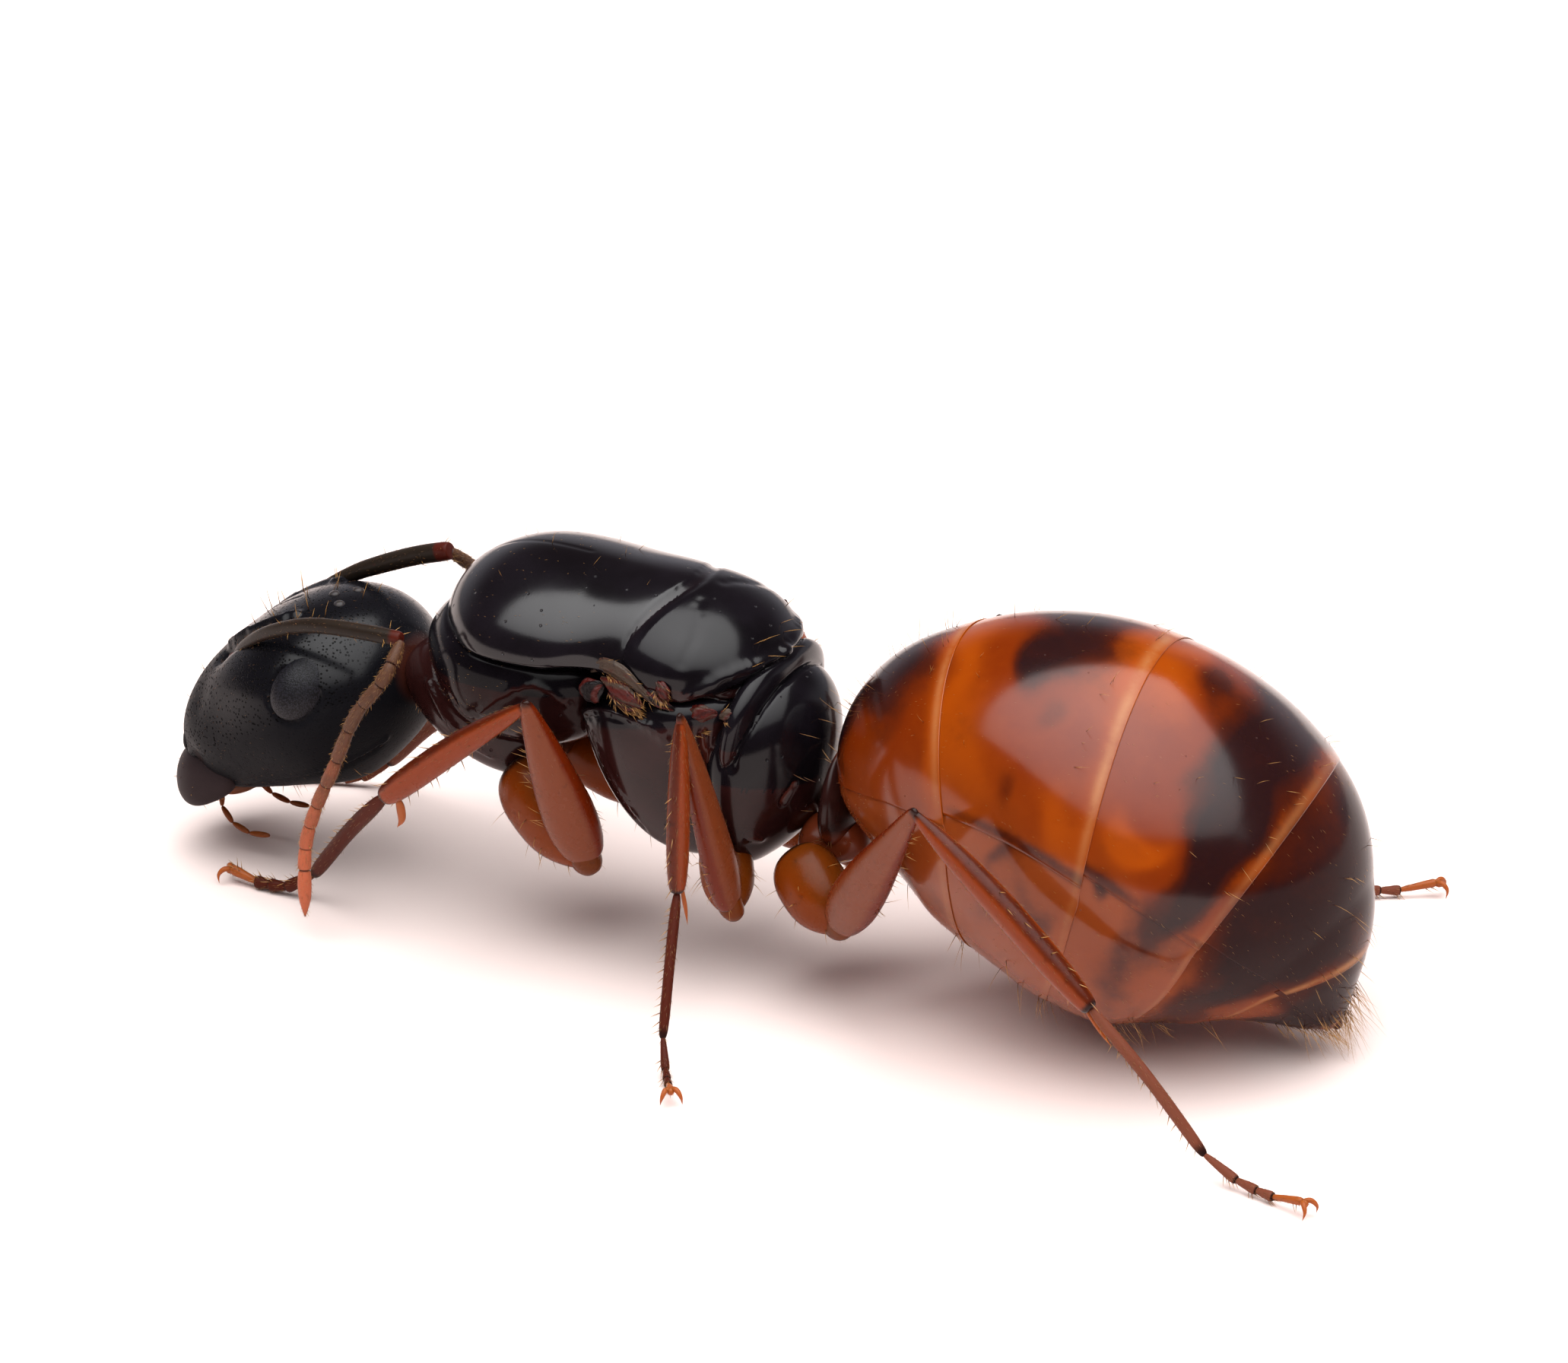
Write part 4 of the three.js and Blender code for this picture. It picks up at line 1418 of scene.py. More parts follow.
NECK = Form(
    spine=((-4.25, 0, 3.2), (-3.2, 0, 2.9), (-2.0, 0, 2.35)),
    width=(0.6, 0.9, 1.0), up=(0.5, 0.8, 1.0), down=(0.45, 0.68, 0.7), square=2.0, ends=(2.6, 2.6),
)

PLATES = (
    Plate("scutum", SCUTUM, 150, 200, (
        Stroke(((-3.0, 0, 5.0), (-2.2, 0, 5.15), (-1.6, 0, 5.17)), 0.03, 0.006, 0.0, False),
    ), (Dent((-1.0, -1.5, 4.1), 0.35, 0.12), Dent((-0.75, -1.3, 4.5), 0.4, 0.06)),
        underside=0.0, gloss=1.43),
    Plate("scutellum", SCUTELLUM, 120, 180, (
        Stroke(((0.08, -0.31, 4.93), (0.33, -0.84, 4.8), (0.32, -1.19, 4.56)), 0.07, 0.012),
        Stroke(((1.14, 0.03, 4.41), (1.05, -0.48, 4.42), (0.8, -0.94, 4.38), (0.51, -1.21, 4.22),
                (0.16, -1.3, 4.0)), 0.09, -0.05),
        Stroke(((1.22, -0.05, 4.25), (1.07, -0.52, 4.22), (0.85, -0.91, 4.16), (0.55, -1.15, 4.02)),
               0.07, 0.08),
    ), gloss=1.32),
    Plate("pronotum", PRONOTUM, 130, 190, (
        Stroke(((-2.4, -1.4, 3.41), (-2.15, -1.46, 3.67), (-1.85, -1.46, 3.86), (-1.6, -1.38, 3.9),
                (-1.28, -1.25, 3.71)), 0.05, -0.03, 0.5),
        Stroke(((-3.8, -0.44, 3.42), (-3.0, -1.25, 3.53), (-2.76, -1.2, 3.11), (-2.3, -1.42, 3.3)),
               0.05, 0.03, 0.6),
    ), gloss=1.2),
    Plate("mesopleuron", MESOPLEURON, 130, 190, (
        Stroke(((-1.2, -1.1, 3.53), (-0.95, -1.2, 3.2), (-0.83, -1.2, 2.92), (-0.6, -1.2, 2.5),
                (-0.4, -1.1, 2.0)), 0.07, 0.05, 0.8),
        Stroke(((-1.05, -1.2, 3.5), (-0.8, -1.25, 3.2), (-0.68, -1.25, 2.92), (-0.45, -1.25, 2.5)),
               0.05, -0.03),
        Stroke(((-1.16, -1.1, 3.53), (-0.72, -1.34, 3.76), (-0.4, -1.4, 3.78), (-0.04, -1.46, 3.75),
                (0.22, -1.41, 3.65)), 0.05, -0.05, 0.3),
        Stroke(((0.62, -1.21, 3.69), (0.66, -1.16, 3.25), (0.77, -1.16, 2.86), (0.9, -1.13, 2.53),
                (0.95, -0.9, 2.1)), 0.06, 0.05, 0.9),
    ), (Dent((-0.4, -1.45, 4.05), 0.35, 0.12),), red=0.1),
    Plate("metanotum", METANOTUM, 60, 160),
    Plate("propodeum", PROPODEUM, 120, 180, (
        Stroke(((1.27, -0.08, 4.13), (1.17, -0.84, 4.07), (1.03, -1.11, 3.84), (1.0, -1.2, 3.59),
                (1.02, -1.15, 3.26)), 0.07, 0.03),
        Stroke(((1.62, -0.62, 2.95), (1.57, -0.68, 2.85), (1.51, -0.74, 2.74)), 0.045, 0.05, 1.0),
        Stroke(((1.2, -1.0, 2.2), (1.45, -0.8, 2.05), (1.65, -0.5, 2.0)), 0.06, -0.04, 0.6),
    )),
    Plate("propleuron", NECK, 110, 130, (
        Stroke(((-3.6, -0.62, 3.2), (-3.1, -0.86, 2.8), (-2.6, -0.95, 2.5)), 0.05, -0.04, 0.3),
    ), red=0.45),
)


@dataclass(frozen=True)
class Stub:
    """One scrap of a torn wing root, drawn on the right side. tone goes from skin to shell."""

    spine: tuple[Point, ...]
    radii: tuple[float, ...]
    tone: float
    flat: float = 0.7


FORE_SCAR = (
    Stub(((-1.05, 1.2, 3.78), (-0.9, 1.38, 3.98), (-0.7, 1.42, 4.12)), (0.12, 0.17, 0.1), 0.85, 0.6),
    Stub(((-0.95, 1.28, 4.2), (-0.7, 1.38, 4.38), (-0.35, 1.45, 4.32), (0.08, 1.47, 4.04)),
         (0.05, 0.1, 0.1, 0.04), 0.0, 0.4),
    Stub(((-0.75, 1.38, 4.2), (-0.42, 1.47, 4.12), (-0.1, 1.5, 3.98)), (0.06, 0.12, 0.08), 0.42),
    Stub(((-0.62, 1.42, 4.04), (-0.38, 1.48, 3.96), (-0.12, 1.46, 3.88)), (0.04, 0.06, 0.04), 0.7),
    Stub(((0.06, 1.4, 4.34), (0.16, 1.45, 4.25), (0.22, 1.44, 4.1)), (0.05, 0.09, 0.06), 0.5),
    Stub(((-0.1, 1.42, 4.22), (0.1, 1.46, 4.1), (0.3, 1.4, 3.98)), (0.05, 0.07, 0.05), 0.85),
)
HIND_SCAR = (
    Stub(((0.42, 1.24, 3.92), (0.6, 1.28, 3.96), (0.8, 1.2, 3.96)), (0.07, 0.11, 0.07), 0.5),
    Stub(((0.82, 1.16, 3.9), (0.92, 1.16, 3.95), (1.02, 1.1, 3.96)), (0.05, 0.08, 0.05), 0.12),
    Stub(((0.34, 1.28, 3.8), (0.5, 1.28, 3.74), (0.66, 1.2, 3.72)), (0.05, 0.08, 0.06), 0.9),
)


@dataclass(frozen=True)
class Trunk:
    """The middle body: seven plates with real seams, and the scars of the four wings."""

    seam_width: float = 0.055
    seam_depth: float = 0.03
    seam_rim: float = 0.2
    valley_reach: float = 0.75
    scar_depth: float = 0.05

    def build_plates(self) -> None:
        """Builds the plates and rounds them into their seams."""
        skins = {plate.name: Skin(plate.form, plate.rings, plate.sides) for plate in PLATES}
        fill_valley(skins["scutum"], skins["scutellum"], self.valley_reach)
        for plate in PLATES:
            skins[plate.name].carve(plate.strokes, plate.dents)
        close_seams(skins, self.seam_width, self.seam_depth, self.seam_rim)
        for plate in PLATES:
            skin = skins[plate.name]
            low = smooth(-np.degrees(skin.turns), 20, 80) * plate.underside
            skin.mark("rim", plate.red).mark("rim", low)
            material = replace(SHELL, gloss=plate.gloss).material(plate.name + "_shell")
            settle(plate.name + "_plate", skin.done(), material, [plate.name])

    def build_scar(self, name: str, stubs: Sequence[Stub], side: Side) -> bpy.types.Object:
        """Builds the scar that one wing left."""
        parts = []
        for stub in stubs:
            skin = Skin(rod(mirrored(stub.spine, side), stub.radii, stub.flat, ends=(2.0, 2.0)), 36, 40)
            ripple = np.sin(skin.shares * 19 + skin.turns * 2) * 0.005 + np.sin(skin.turns * 6) * 0.009
            skin.points += skin.normals() * ripple[:, None] - [0, self.scar_depth * side.value, 0]
            skin.mark("tone", np.clip(stub.tone + 0.25 * np.sin(skin.turns * 3 + skin.shares * 9), 0, 1))
            parts.append(skin.done())
        node = name + "_" + side.label
        return settle(node + "_scar", joined(node, parts), WING_SCAR.material(node), [node])

    def grow_hair(self) -> bpy.types.Object:
        """Grows the sparse hairs of the middle body."""
        coat = Coat("trunk", SEEDS["trunk"], 10)
        coat.skin().scatter(SCUTUM, 12, (0.2, 0.9), (40, 140), Brush(0.16, 0.004, 0.2, 0.1))
        coat.scatter(SCUTUM, 200, (0.1, 0.95), (15, 165), Brush(0.035, 0.0018, 0.75, fine=True))
        coat.skin().scatter(SCUTELLUM, 9, (0.7, 0.97), (30, 150), Brush(0.26, 0.0042, 0.25, 0.1))
        coat.skin()
        for degrees in ((-60, 60), (120, 240)):
            coat.scatter(PRONOTUM, 200, (0.08, 0.6), degrees, Brush(0.035, 0.0018, 0.75, fine=True))
        coat.scatter(PRONOTUM, 6, (0.05, 0.3), (40, 140), Brush(0.2, 0.0042, 0.25, 0.1))
        coat.skin().scatter(PROPODEUM, 5, (0.85, 0.97), (40, 140), Brush(0.3, 0.003, 0.25, 0.1, shade=0.5))
        for degrees in ((-40, 30), (150, 220)):
            coat.scatter(PROPODEUM, 3, (0.9, 0.98), degrees, Brush(0.24, 0.003, 0.25, 0.1, shade=0.6))
        coat.skin().scatter(MESOPLEURON, 30, (0.2, 0.85), (-130, -50), Brush(0.16, 0.0042, 0.3, 0.1))
        coat.skin().scatter(NECK, 40, (0.1, 0.5), (-150, -30), Brush(0.1, 0.004, 0.5, fine=True))
        for stubs in (FORE_SCAR, HIND_SCAR):
            for side in Side:
                coat.skin()
                for stub in stubs[1:5]:
                    form = rod(mirrored(stub.spine, side), stub.radii, stub.flat, ends=(2.0, 2.0))
                    coat.scatter(form, 80, (0.3, 0.98), (-130, 60), Brush(0.1, 0.004, 0.55, fine=True))
        return coat.finish()

    def build(self) -> None:
        """Builds the whole middle body."""
        self.build_plates()
        for side in Side:
            self.build_scar("forewing_stump", FORE_SCAR, side)
            self.build_scar("hindwing_stump", HIND_SCAR, side)
        self.grow_hair()


@dataclass(frozen=True)
class Waist:
    """The upright scale between the middle body and the gaster, on its short stalk."""

    scale: Form = Form(
        spine=((1.92, 0, 1.95), (2.02, 0.02, 2.6), (2.0, 0.02, 3.3)),
        width=(0.5, 0.66, 0.5), up=(0.24, 0.22, 0.12), down=(0.24, 0.22, 0.12), ends=(2.6, 2.6),
    )

    def build(self) -> None:
        """Builds the scale, its stalk and their hairs."""
        skin = Skin(self.scale, 90, 110)
        skin.mark("rim", smooth(1 - skin.shares, 0.55, 0.95)).mark("rim", smooth(skin.shares, 0.9, 1.0) * 0.5)
        line = ((1.45, 0, 2.05), (1.85, 0, 1.98), (2.3, 0.03, 2.2))
        stalk = Skin(rod(line, (0.34, 0.3, 0.34), 1.2), 50, 60)
        stalk.mark("rim", 0.8)
        mesh = joined("petiole", [skin.done(), stalk.done()])
        settle("petiole_scale", mesh, RED_SHELL.material("petiole_shell"), ["petiole"])
        coat = Coat("waist", SEEDS["waist"], 2)
        coat.skin().scatter(self.scale, 12, (0.75, 0.98), (0, 360), Brush(0.24, 0.0036, 0.15, 0.1))
        coat.scatter(self.scale, 30, (0.03, 0.2), (0, 360), Brush(0.14, 0.005, 0.4, 0.1, shade=0.8))
        coat.finish()


# ---------------------------------------------------------------- gaster


@dataclass(frozen=True)
class Blotch:
    """A dark or glowing cloud on the gaster, drawn on the left side and mirrored."""

    share: float
    degrees: float
    length: float
    breadth: float
    strength: float = 1.0

    def field(self, shares: np.ndarray, degrees: np.ndarray) -> np.ndarray:
        """Its strength at each place."""
        out = np.zeros(len(shares))
        for middle in {self.degrees, (180 - self.degrees) % 360}:
            turn = (degrees - middle + 180) % 360 - 180
            far = ((shares - self.share) / self.length) ** 2 + (turn / self.breadth) ** 2
            out = np.maximum(out, np.exp(-0.8 * far ** 1.2))
        return out * self.strength


DARK = (
    Blotch(0.06, 90, 0.10, 40), Blotch(0.15, 90, 0.05, 34, 0.9), Blotch(0.02, 90, 0.03, 80, 0.8),
    Blotch(0.36, 90, 0.048, 20), Blotch(0.335, 103, 0.026, 9, 0.7),
    Blotch(0.36, 126, 0.016, 5, 0.26), Blotch(0.335, 147, 0.014, 5, 0.36), Blotch(0.42, 118, 0.012, 6, 0.2),
    Blotch(0.48, 90, 0.014, 9, 0.6), Blotch(0.525, 90, 0.03, 26, 0.6),
    Blotch(0.585, 90, 0.04, 60), Blotch(0.59, 128, 0.035, 26), Blotch(0.59, 150, 0.028, 12, 0.8),
    Blotch(0.545, 106, 0.02, 14, 0.6), Blotch(0.56, 168, 0.025, 7, 0.5), Blotch(0.485, 163, 0.01, 4, 0.5),
    Blotch(0.76, 90, 0.10, 74, 1.1), Blotch(0.74, 140, 0.09, 26, 0.9), Blotch(0.75, 168, 0.06, 14, 0.55),
    Blotch(0.95, 90, 0.07, 90, 0.95), Blotch(0.93, 165, 0.05, 30, 0.7),
    Blotch(0.43, 184, 0.03, 6, 0.45), Blotch(0.36, 179, 0.02, 5, 0.45), Blotch(0.345, 197, 0.03, 9, 0.4),
    Blotch(0.56, 190, 0.035, 12, 0.4), Blotch(0.74, 200, 0.05, 20, 0.5), Blotch(0.93, 230, 0.05, 40, 0.7),
)
GLOW = (
    Blotch(0.5, 146, 0.026, 5.0), Blotch(0.245, 90, 0.02, 70, 0.6), Blotch(0.45, 100, 0.02, 14, 0.6),
    Blotch(0.62, 125, 0.02, 34, 0.6), Blotch(0.28, 150, 0.03, 20, 0.5), Blotch(0.42, 158, 0.03, 8, 0.6),
    Blotch(0.41, 90, 0.02, 26, 0.6),
)


@dataclass(frozen=True)
class Ring:
    """One ring of the gaster: an upper plate and a lower plate.

    front, rear and lower_rear are shares of the spine. slant is how far the rear moves down the
    flanks and half_arc how far round the upper plate reaches, in degrees. line, band and clear are
    how strong the pale line, the glow and the gap in the dark are along its rear margin.
    """

    number: int
    front: float
    rear: float
    slant: float
    half_arc: float
    lower_rear: float
    line: float
    band: float
    clear: float


@dataclass(frozen=True)
class Gaster:
    """The hind body: a soft core and five rings of lapped plates."""

    form: Form = Form(
        spine=((1.98, 0.05, 2.9), (3.4, 0.24, 3.16), (5.15, 0.5, 3.06), (6.75, 0.76, 2.33),
               (7.72, 0.92, 1.45), (8.4, 0.98, 0.46)),
        width=(1.3, 1.92, 2.45, 2.38, 1.62, 0.6),
        up=(1.65, 2.12, 2.3, 2.13, 1.55, 0.45),
        down=(1.18, 2.15, 2.46, 2.36, 1.88, 0.58),
        ends=(2.5, 2.5),
    )
    rings: tuple[Ring, ...] = (
        Ring(1, 0.003, 0.228, 0.030, 84, 0.27, 0.4, 0.3, 0.75),
        Ring(2, 0.228, 0.427, 0.036, 80, 0.49, 0.5, 0.3, 0.75),
        Ring(3, 0.427, 0.640, 0.010, 76, 0.675, 0.22, 0.12, 0.4),
        Ring(4, 0.640, 0.886, -0.036, 72, 0.84, 0.6, 0.1, 0.5),
        Ring(5, 0.886, 0.9985, 0.0, 76, 0.9985, 0.0, 0.0, 0.0),
    )
    tuck: float = 0.018
    wall: float = 0.007
    overlap: int = 8
    first_dark: int = 4
    dark_gloss: float = 1.18

    def lapped(self, ring: Ring, upper: bool) -> bpy.types.Object:
        """Builds one plate.

        Args:
            ring: Its ring.
            upper: True for the plate of the back, False for that of the belly.

        Returns:
            The piece.
        """
        shape = bmesh.new()
        bmesh.ops.create_grid(shape, x_segments=190 if upper else 130, y_segments=64, size=1.0)
        mesh = meshed(shape, "plate")
        flat = read(mesh.vertices, "co", 3)
        u, v = (flat[:, 0] + 1) / 2, (flat[:, 1] + 1) / 2
        v = 1 - (1 - v) ** 1.25
        middle = 90.0 if upper else -90.0
        half = ring.half_arc if upper else 180 + self.overlap - ring.half_arc
        degrees = middle + (1 - 2 * u) * half
        from_top = np.abs((degrees - 90 + 180) % 360 - 180)
        bow = (from_top / 75) ** 2
        before = self.rings[max(ring.number - 2, 0)]
        rear = ring.rear + ring.slant * np.minimum(bow, 1.3)
        front = before.rear + before.slant * np.minimum(bow, 1.3) if ring.number > 1 else ring.front
        if not upper:
            join = smooth(from_top, ring.half_arc, ring.half_arc + 34)
            rear = rear + (ring.lower_rear - rear) * join
            front = front + (before.lower_rear - front) * join if ring.number > 1 else front
        start = np.maximum(front - self.tuck, 0.003)
        shares = start + (rear - start) * v
        turns = np.radians(degrees)
        points = self.form.place(shares, turns)
        outward, _ = self.form.normals(shares, turns)
        side_edge = np.abs(2 * u - 1)
        dip = (1 - smooth(v, 0.0, 0.3)) * (ring.number > 1)
        lift = -0.014 * dip + (0.003 if upper else -0.02 * smooth(side_edge, 0.8, 0.97))
        if ring.number == 5:
            lift = lift - 0.03 * smooth(v, 0.8, 1.0)
        points = points + outward * lift[:, None]
        land(mesh, points, self.paint(shares, degrees, v, from_top, upper, ring))
        kind = "tergite" if upper else "sternite"
        name = f"{kind}_{ring.number}"
        pale = ring.number < self.first_dark
        finish = GASTER_AMBER if pale else replace(GASTER_AMBER, gloss=self.dark_gloss)
        piece = settle(name, mesh, finish.material(name), [f"gaster_plate_{ring.number}"])
        wall = piece.modifiers.new("wall", "SOLIDIFY")
        wall.thickness = self.wall * MM
        wall.offset = -1.0
        return piece

    def paint(self, shares: np.ndarray, degrees: np.ndarray, v: np.ndarray, from_top: np.ndarray,
              upper: bool, ring: Ring) -> dict[str, np.ndarray]:
        """Marks the dark and glowing places of one plate, the places paled by a painted reflection of the
        floor, and the line at its rear.

        Args:
            shares: Each point's place along the spine.
            degrees: Its angle round the spine.
            v: Its share of the way from the plate's front to its rear.
            from_top: Its angle from the middle of the back.
            upper: True for the plate of the back.
            ring: The plate's ring.

        Returns:
            The marks.
        """
        warp = np.radians(degrees)
        shares = shares + 0.008 * np.sin(warp * 5 + shares * 30) + 0.006 * np.sin(warp * 11 - shares * 21)
        degrees = degrees + 5 * np.sin(shares * 38 + warp * 2) + 3 * np.sin(shares * 71)
        dark = sum(b.field(shares, degrees) for b in DARK)
        glow = np.clip(sum(b.field(shares, degrees) for b in GLOW), 0, 1)
        dark = np.clip(dark * (1 - 0.9 * glow), 0, 1)
        # Painted reflection of the floor: paler down the flanks of the upper plate and all over the lower
        # plate.
        milk = smooth(from_top, 40, 120) * 0.7 if upper else np.full(len(v), 0.85)
        seen = 1 - (0.6 if ring.number < 3 else 0.3) * smooth(from_top, 45, 80)
        edge = np.exp(-(((v - 0.97) / 0.024) ** 2)) * ring.line * seen
        rear = smooth(v, 0.86, 0.97)
        dark = dark * (1 - ring.clear * rear)
        if upper:
            margin = np.exp(-(((from_top - ring.half_arc + 2) / 2.5) ** 2)) * smooth(shares, 0.2, 0.32)
            dark = np.maximum(dark, margin * 0.45)
            glow = glow + margin * 0.4
        return {"dark": dark, "milk": milk, "glow": glow + rear * ring.band, "line": edge}

    def build_core(self) -> bpy.types.Object:
        """Builds the soft skin between the plates, and the ringed tip."""
        form = replace(
            self.form,
            width=tuple(w - 0.055 for w in self.form.width),
            up=tuple(w - 0.06 for w in self.form.up),
            down=tuple(w - 0.06 for w in self.form.down),
        )
        skin = Skin(form, 110, 140)
        degrees = np.degrees(skin.turns)
        dark = np.clip(sum(b.field(skin.shares, degrees) for b in DARK), 0, 1)
        # The soft skin gets an even painted reflection of the floor at half strength.
        skin.mark("dark", dark * 0.6).mark("milk", 0.5)
        tip = np.array(self.form.spine[-1])
        nozzle = Skin(rod((tip + [-0.12, 0, 0.2], tip + [0.06, 0, -0.02]), (0.13, 0.07)), 24, 30)
        nozzle.mark("dark", 0.6)
        mesh = joined("gaster_core", [skin.done(), nozzle.done()])
        return settle("gaster_core", mesh, SKIN_FOLD.material("gaster_skin"))

    def grow_hair(self) -> None:
        """Grows the hairs of the gaster."""
        coat = Coat("gaster", SEEDS["gaster"])
        coat.skin()
        for ring in self.rings[:4]:
            for degrees, brush in (((35, 145), Brush(0.24, 0.0036, 0.3, 0.12)),
                                   ((-150, -30), Brush(0.36, 0.0045, 0.35, 0.15))):
                rear = ring.rear if degrees[0] > 0 else ring.lower_rear
                coat.scatter(self.form, 12, (rear - 0.03, rear - 0.01), degrees, brush, 0.01)
                coat.scatter(self.form, 9, (rear - 0.16, rear - 0.05), degrees, brush, 0.01)
        coat.scatter(self.form, 26, (0.03, 0.2), (50, 130), Brush(0.34, 0.0042, 0.2, 0.1), 0.01)
        coat.scatter(self.form, 50, (0.9, 0.97), (-180, 180), Brush(0.3, 0.0045, 0.4, 0.15), 0.01)
        coat.scatter(self.form, 70, (0.93, 0.99), (-60, 60), Brush(0.6, 0.0042, 0.45, 0.15), 0.0)
        coat.scatter(self.form, 60, (0.95, 0.997), (-180, 180), Brush(0.4, 0.0048, 0.5, 0.15), 0.0)
        coat.scatter(self.form, 2400, (0.03, 0.97), (-180, 180), Brush(0.05, 0.0014, 0.8, fine=True), 0.008)
        coat.finish()

    def build(self) -> None:
        """Builds the whole gaster."""
        self.build_core()
        for ring in self.rings:
            self.lapped(ring, True)
            self.lapped(ring, False)
        self.grow_hair()


# ---------------------------------------------------------------- legs


@dataclass(frozen=True)
class LegSizes:
    """Half thicknesses of the joints of one pair of legs."""

    coxa: tuple[float, ...]
    femur: tuple[float, ...]
    tibia: tuple[float, ...]
    foot: float


SIZES = {
    Pair.FORE: LegSizes((0.48, 0.54, 0.5, 0.3), (0.3, 0.36, 0.34, 0.28, 0.2, 0.13),
                        (0.11, 0.15, 0.18, 0.185, 0.17), 0.1),
    Pair.MID: LegSizes((0.34, 0.36, 0.34, 0.24), (0.24, 0.27, 0.25, 0.21, 0.16, 0.11),
                       (0.1, 0.13, 0.15, 0.155, 0.13), 0.068),
    Pair.HIND: LegSizes((0.4, 0.46, 0.44, 0.28), (0.28, 0.34, 0.32, 0.25, 0.17, 0.12),
                        (0.12, 0.175, 0.2, 0.195, 0.155), 0.078),
}


@dataclass(frozen=True)
class Leg:
    """One leg from the hip to the claws."""

    pair: Pair
    side: Side
    hip: Point
    trochanter: Point
    knee: Point
    ankle: Point
    instep: Point
    toe: Point

    @property
    def name(self) -> str:
        """The leg's name in the nodes."""
        return f"{self.pair.value}_leg_{self.side.label}"

    @property
    def sizes(self) -> LegSizes:
        """Its pair's sizes."""
        return SIZES[self.pair]

    def level(self) -> Point:
        """The way that is square to the plane of the bent leg."""
        thigh = np.array(self.knee) - self.trochanter
        shin = np.array(self.ankle) - self.knee
        return tuple(unit(np.cross(thigh, shin)))

    def coxa_form(self) -> Form:
        """The hip joint."""
        hip, end = np.array(self.hip), np.array(self.trochanter)
        way = unit(end - hip)
        return rod((hip, (hip + end) / 2, end + way * 0.06), self.sizes.coxa, 0.9, ends=(4.0, 3.0))

    def femur_form(self) -> Form:
        """The thigh, flattened in the plane of the leg."""
        start, end = np.array(self.trochanter), np.array(self.knee)
        way = unit(end - start)
        return rod((start + way * 0.05, (start + end) / 2, end + way * 0.08),
                   self.sizes.femur, 0.72, self.level(), (7.0, 3.5))

    def tibia_form(self) -> Form:
        """The shin, widest near its far end."""
        start, end = np.array(self.knee), np.array(self.ankle)
        way = unit(end - start)
        bow = np.array([0, 0, 0.05])
        return rod((start - way * 0.02, (start + end) / 2 + bow, end),
                   self.sizes.tibia, 0.9, self.level(), (3.0, 6.0))

    def foot_line(self) -> np.ndarray:
        """The middle line of the foot: its long joint, three short ones and the last one."""
        instep, toe = np.array(self.instep), np.array(self.toe)
        flat = np.array([1, 1, 0])
        run = (toe - instep) * flat
        ground = instep * flat
        heel = ground + [0, 0, 0.3]
        return np.array([
            self.ankle,
            heel * 0.35 + instep * 0.65,
            ground + run * 0.32 + [0, 0, 0.15],
            ground + run * 0.52 + [0, 0, 0.115],
            ground + run * 0.68 + [0, 0, 0.11],
            ground + run * 0.97 + [0, 0, 0.2],
        ])

    def foot_forms(self) -> list[Form]:
        """The five joints of the foot, each a little wider at its far end."""
        line = self.foot_line()
        size = self.sizes.foot
        forms = []
        for index, (start, end) in enumerate(zip(line[:-1], line[1:])):
            way = unit(end - start)
            radii = (size * 0.5, size * 0.72, size * 0.98)
            if index == 0:
                radii = (size * 1.1, size * 1.05, size * 1.0, size * 1.05)
            if index == 4:
                radii = (size * 0.45, size * 0.6, size * 0.8)
            middle = (start + end) / 2 + [0, 0, 0.06 if index == 0 else 0]
            forms.append(rod((start - way * 0.015, middle, end + way * 0.03), radii, 0.9, ends=(3.4, 4.5)))
        return forms

    def claw_forms(self) -> list[Form]:
        """The two claws and the pad between them."""
        line = self.foot_line()
        end = line[-1]
        way = unit((line[-1] - line[-2]) * [1, 1, 0])
        out = np.array([-way[1], way[0], 0])
        forms = []
        for sign in (-1, 1):
            spine = (
                end,
                end + way * 0.09 + out * 0.07 * sign + [0, 0, 0.015],
                end + way * 0.15 + out * 0.12 * sign - [0, 0, 0.06],
                end + way * 0.13 + out * 0.14 * sign - [0, 0, 0.17],
            )
            forms.append(rod(spine, (0.04, 0.036, 0.024, 0.008), ends=(2.4, 1.8)))
        forms.append(rod((end, end + way * 0.1 - [0, 0, 0.03]), (0.045, 0.05), ends=(2.2, 2.2)))
        return forms

    def spur_forms(self) -> list[Form]:
        """The spur at the shin's end, curved and broad on the fore leg."""
        start, end = np.array(self.knee), np.array(self.ankle)
        way = unit(end - start)
        under = unit(np.cross(way, self.level()))
        under = under if under[2] < 0 else -under
        root = end + under * 0.1
        if self.pair is Pair.FORE:
            spine = (root - way * 0.16, root - way * 0.06 + under * 0.14, root + way * 0.1 + under * 0.3,
                     root + way * 0.26 + under * 0.36)
            return [rod(spine, (0.05, 0.06, 0.05, 0.012), 0.6, self.level(), (2.4, 1.8))]
        spine = (root - way * 0.05, root + way * 0.25 + under * 0.1, root + way * 0.5 + under * 0.16)
        return [rod(spine, (0.035, 0.026, 0.008), 1.0, self.level(), (2.4, 1.8))]

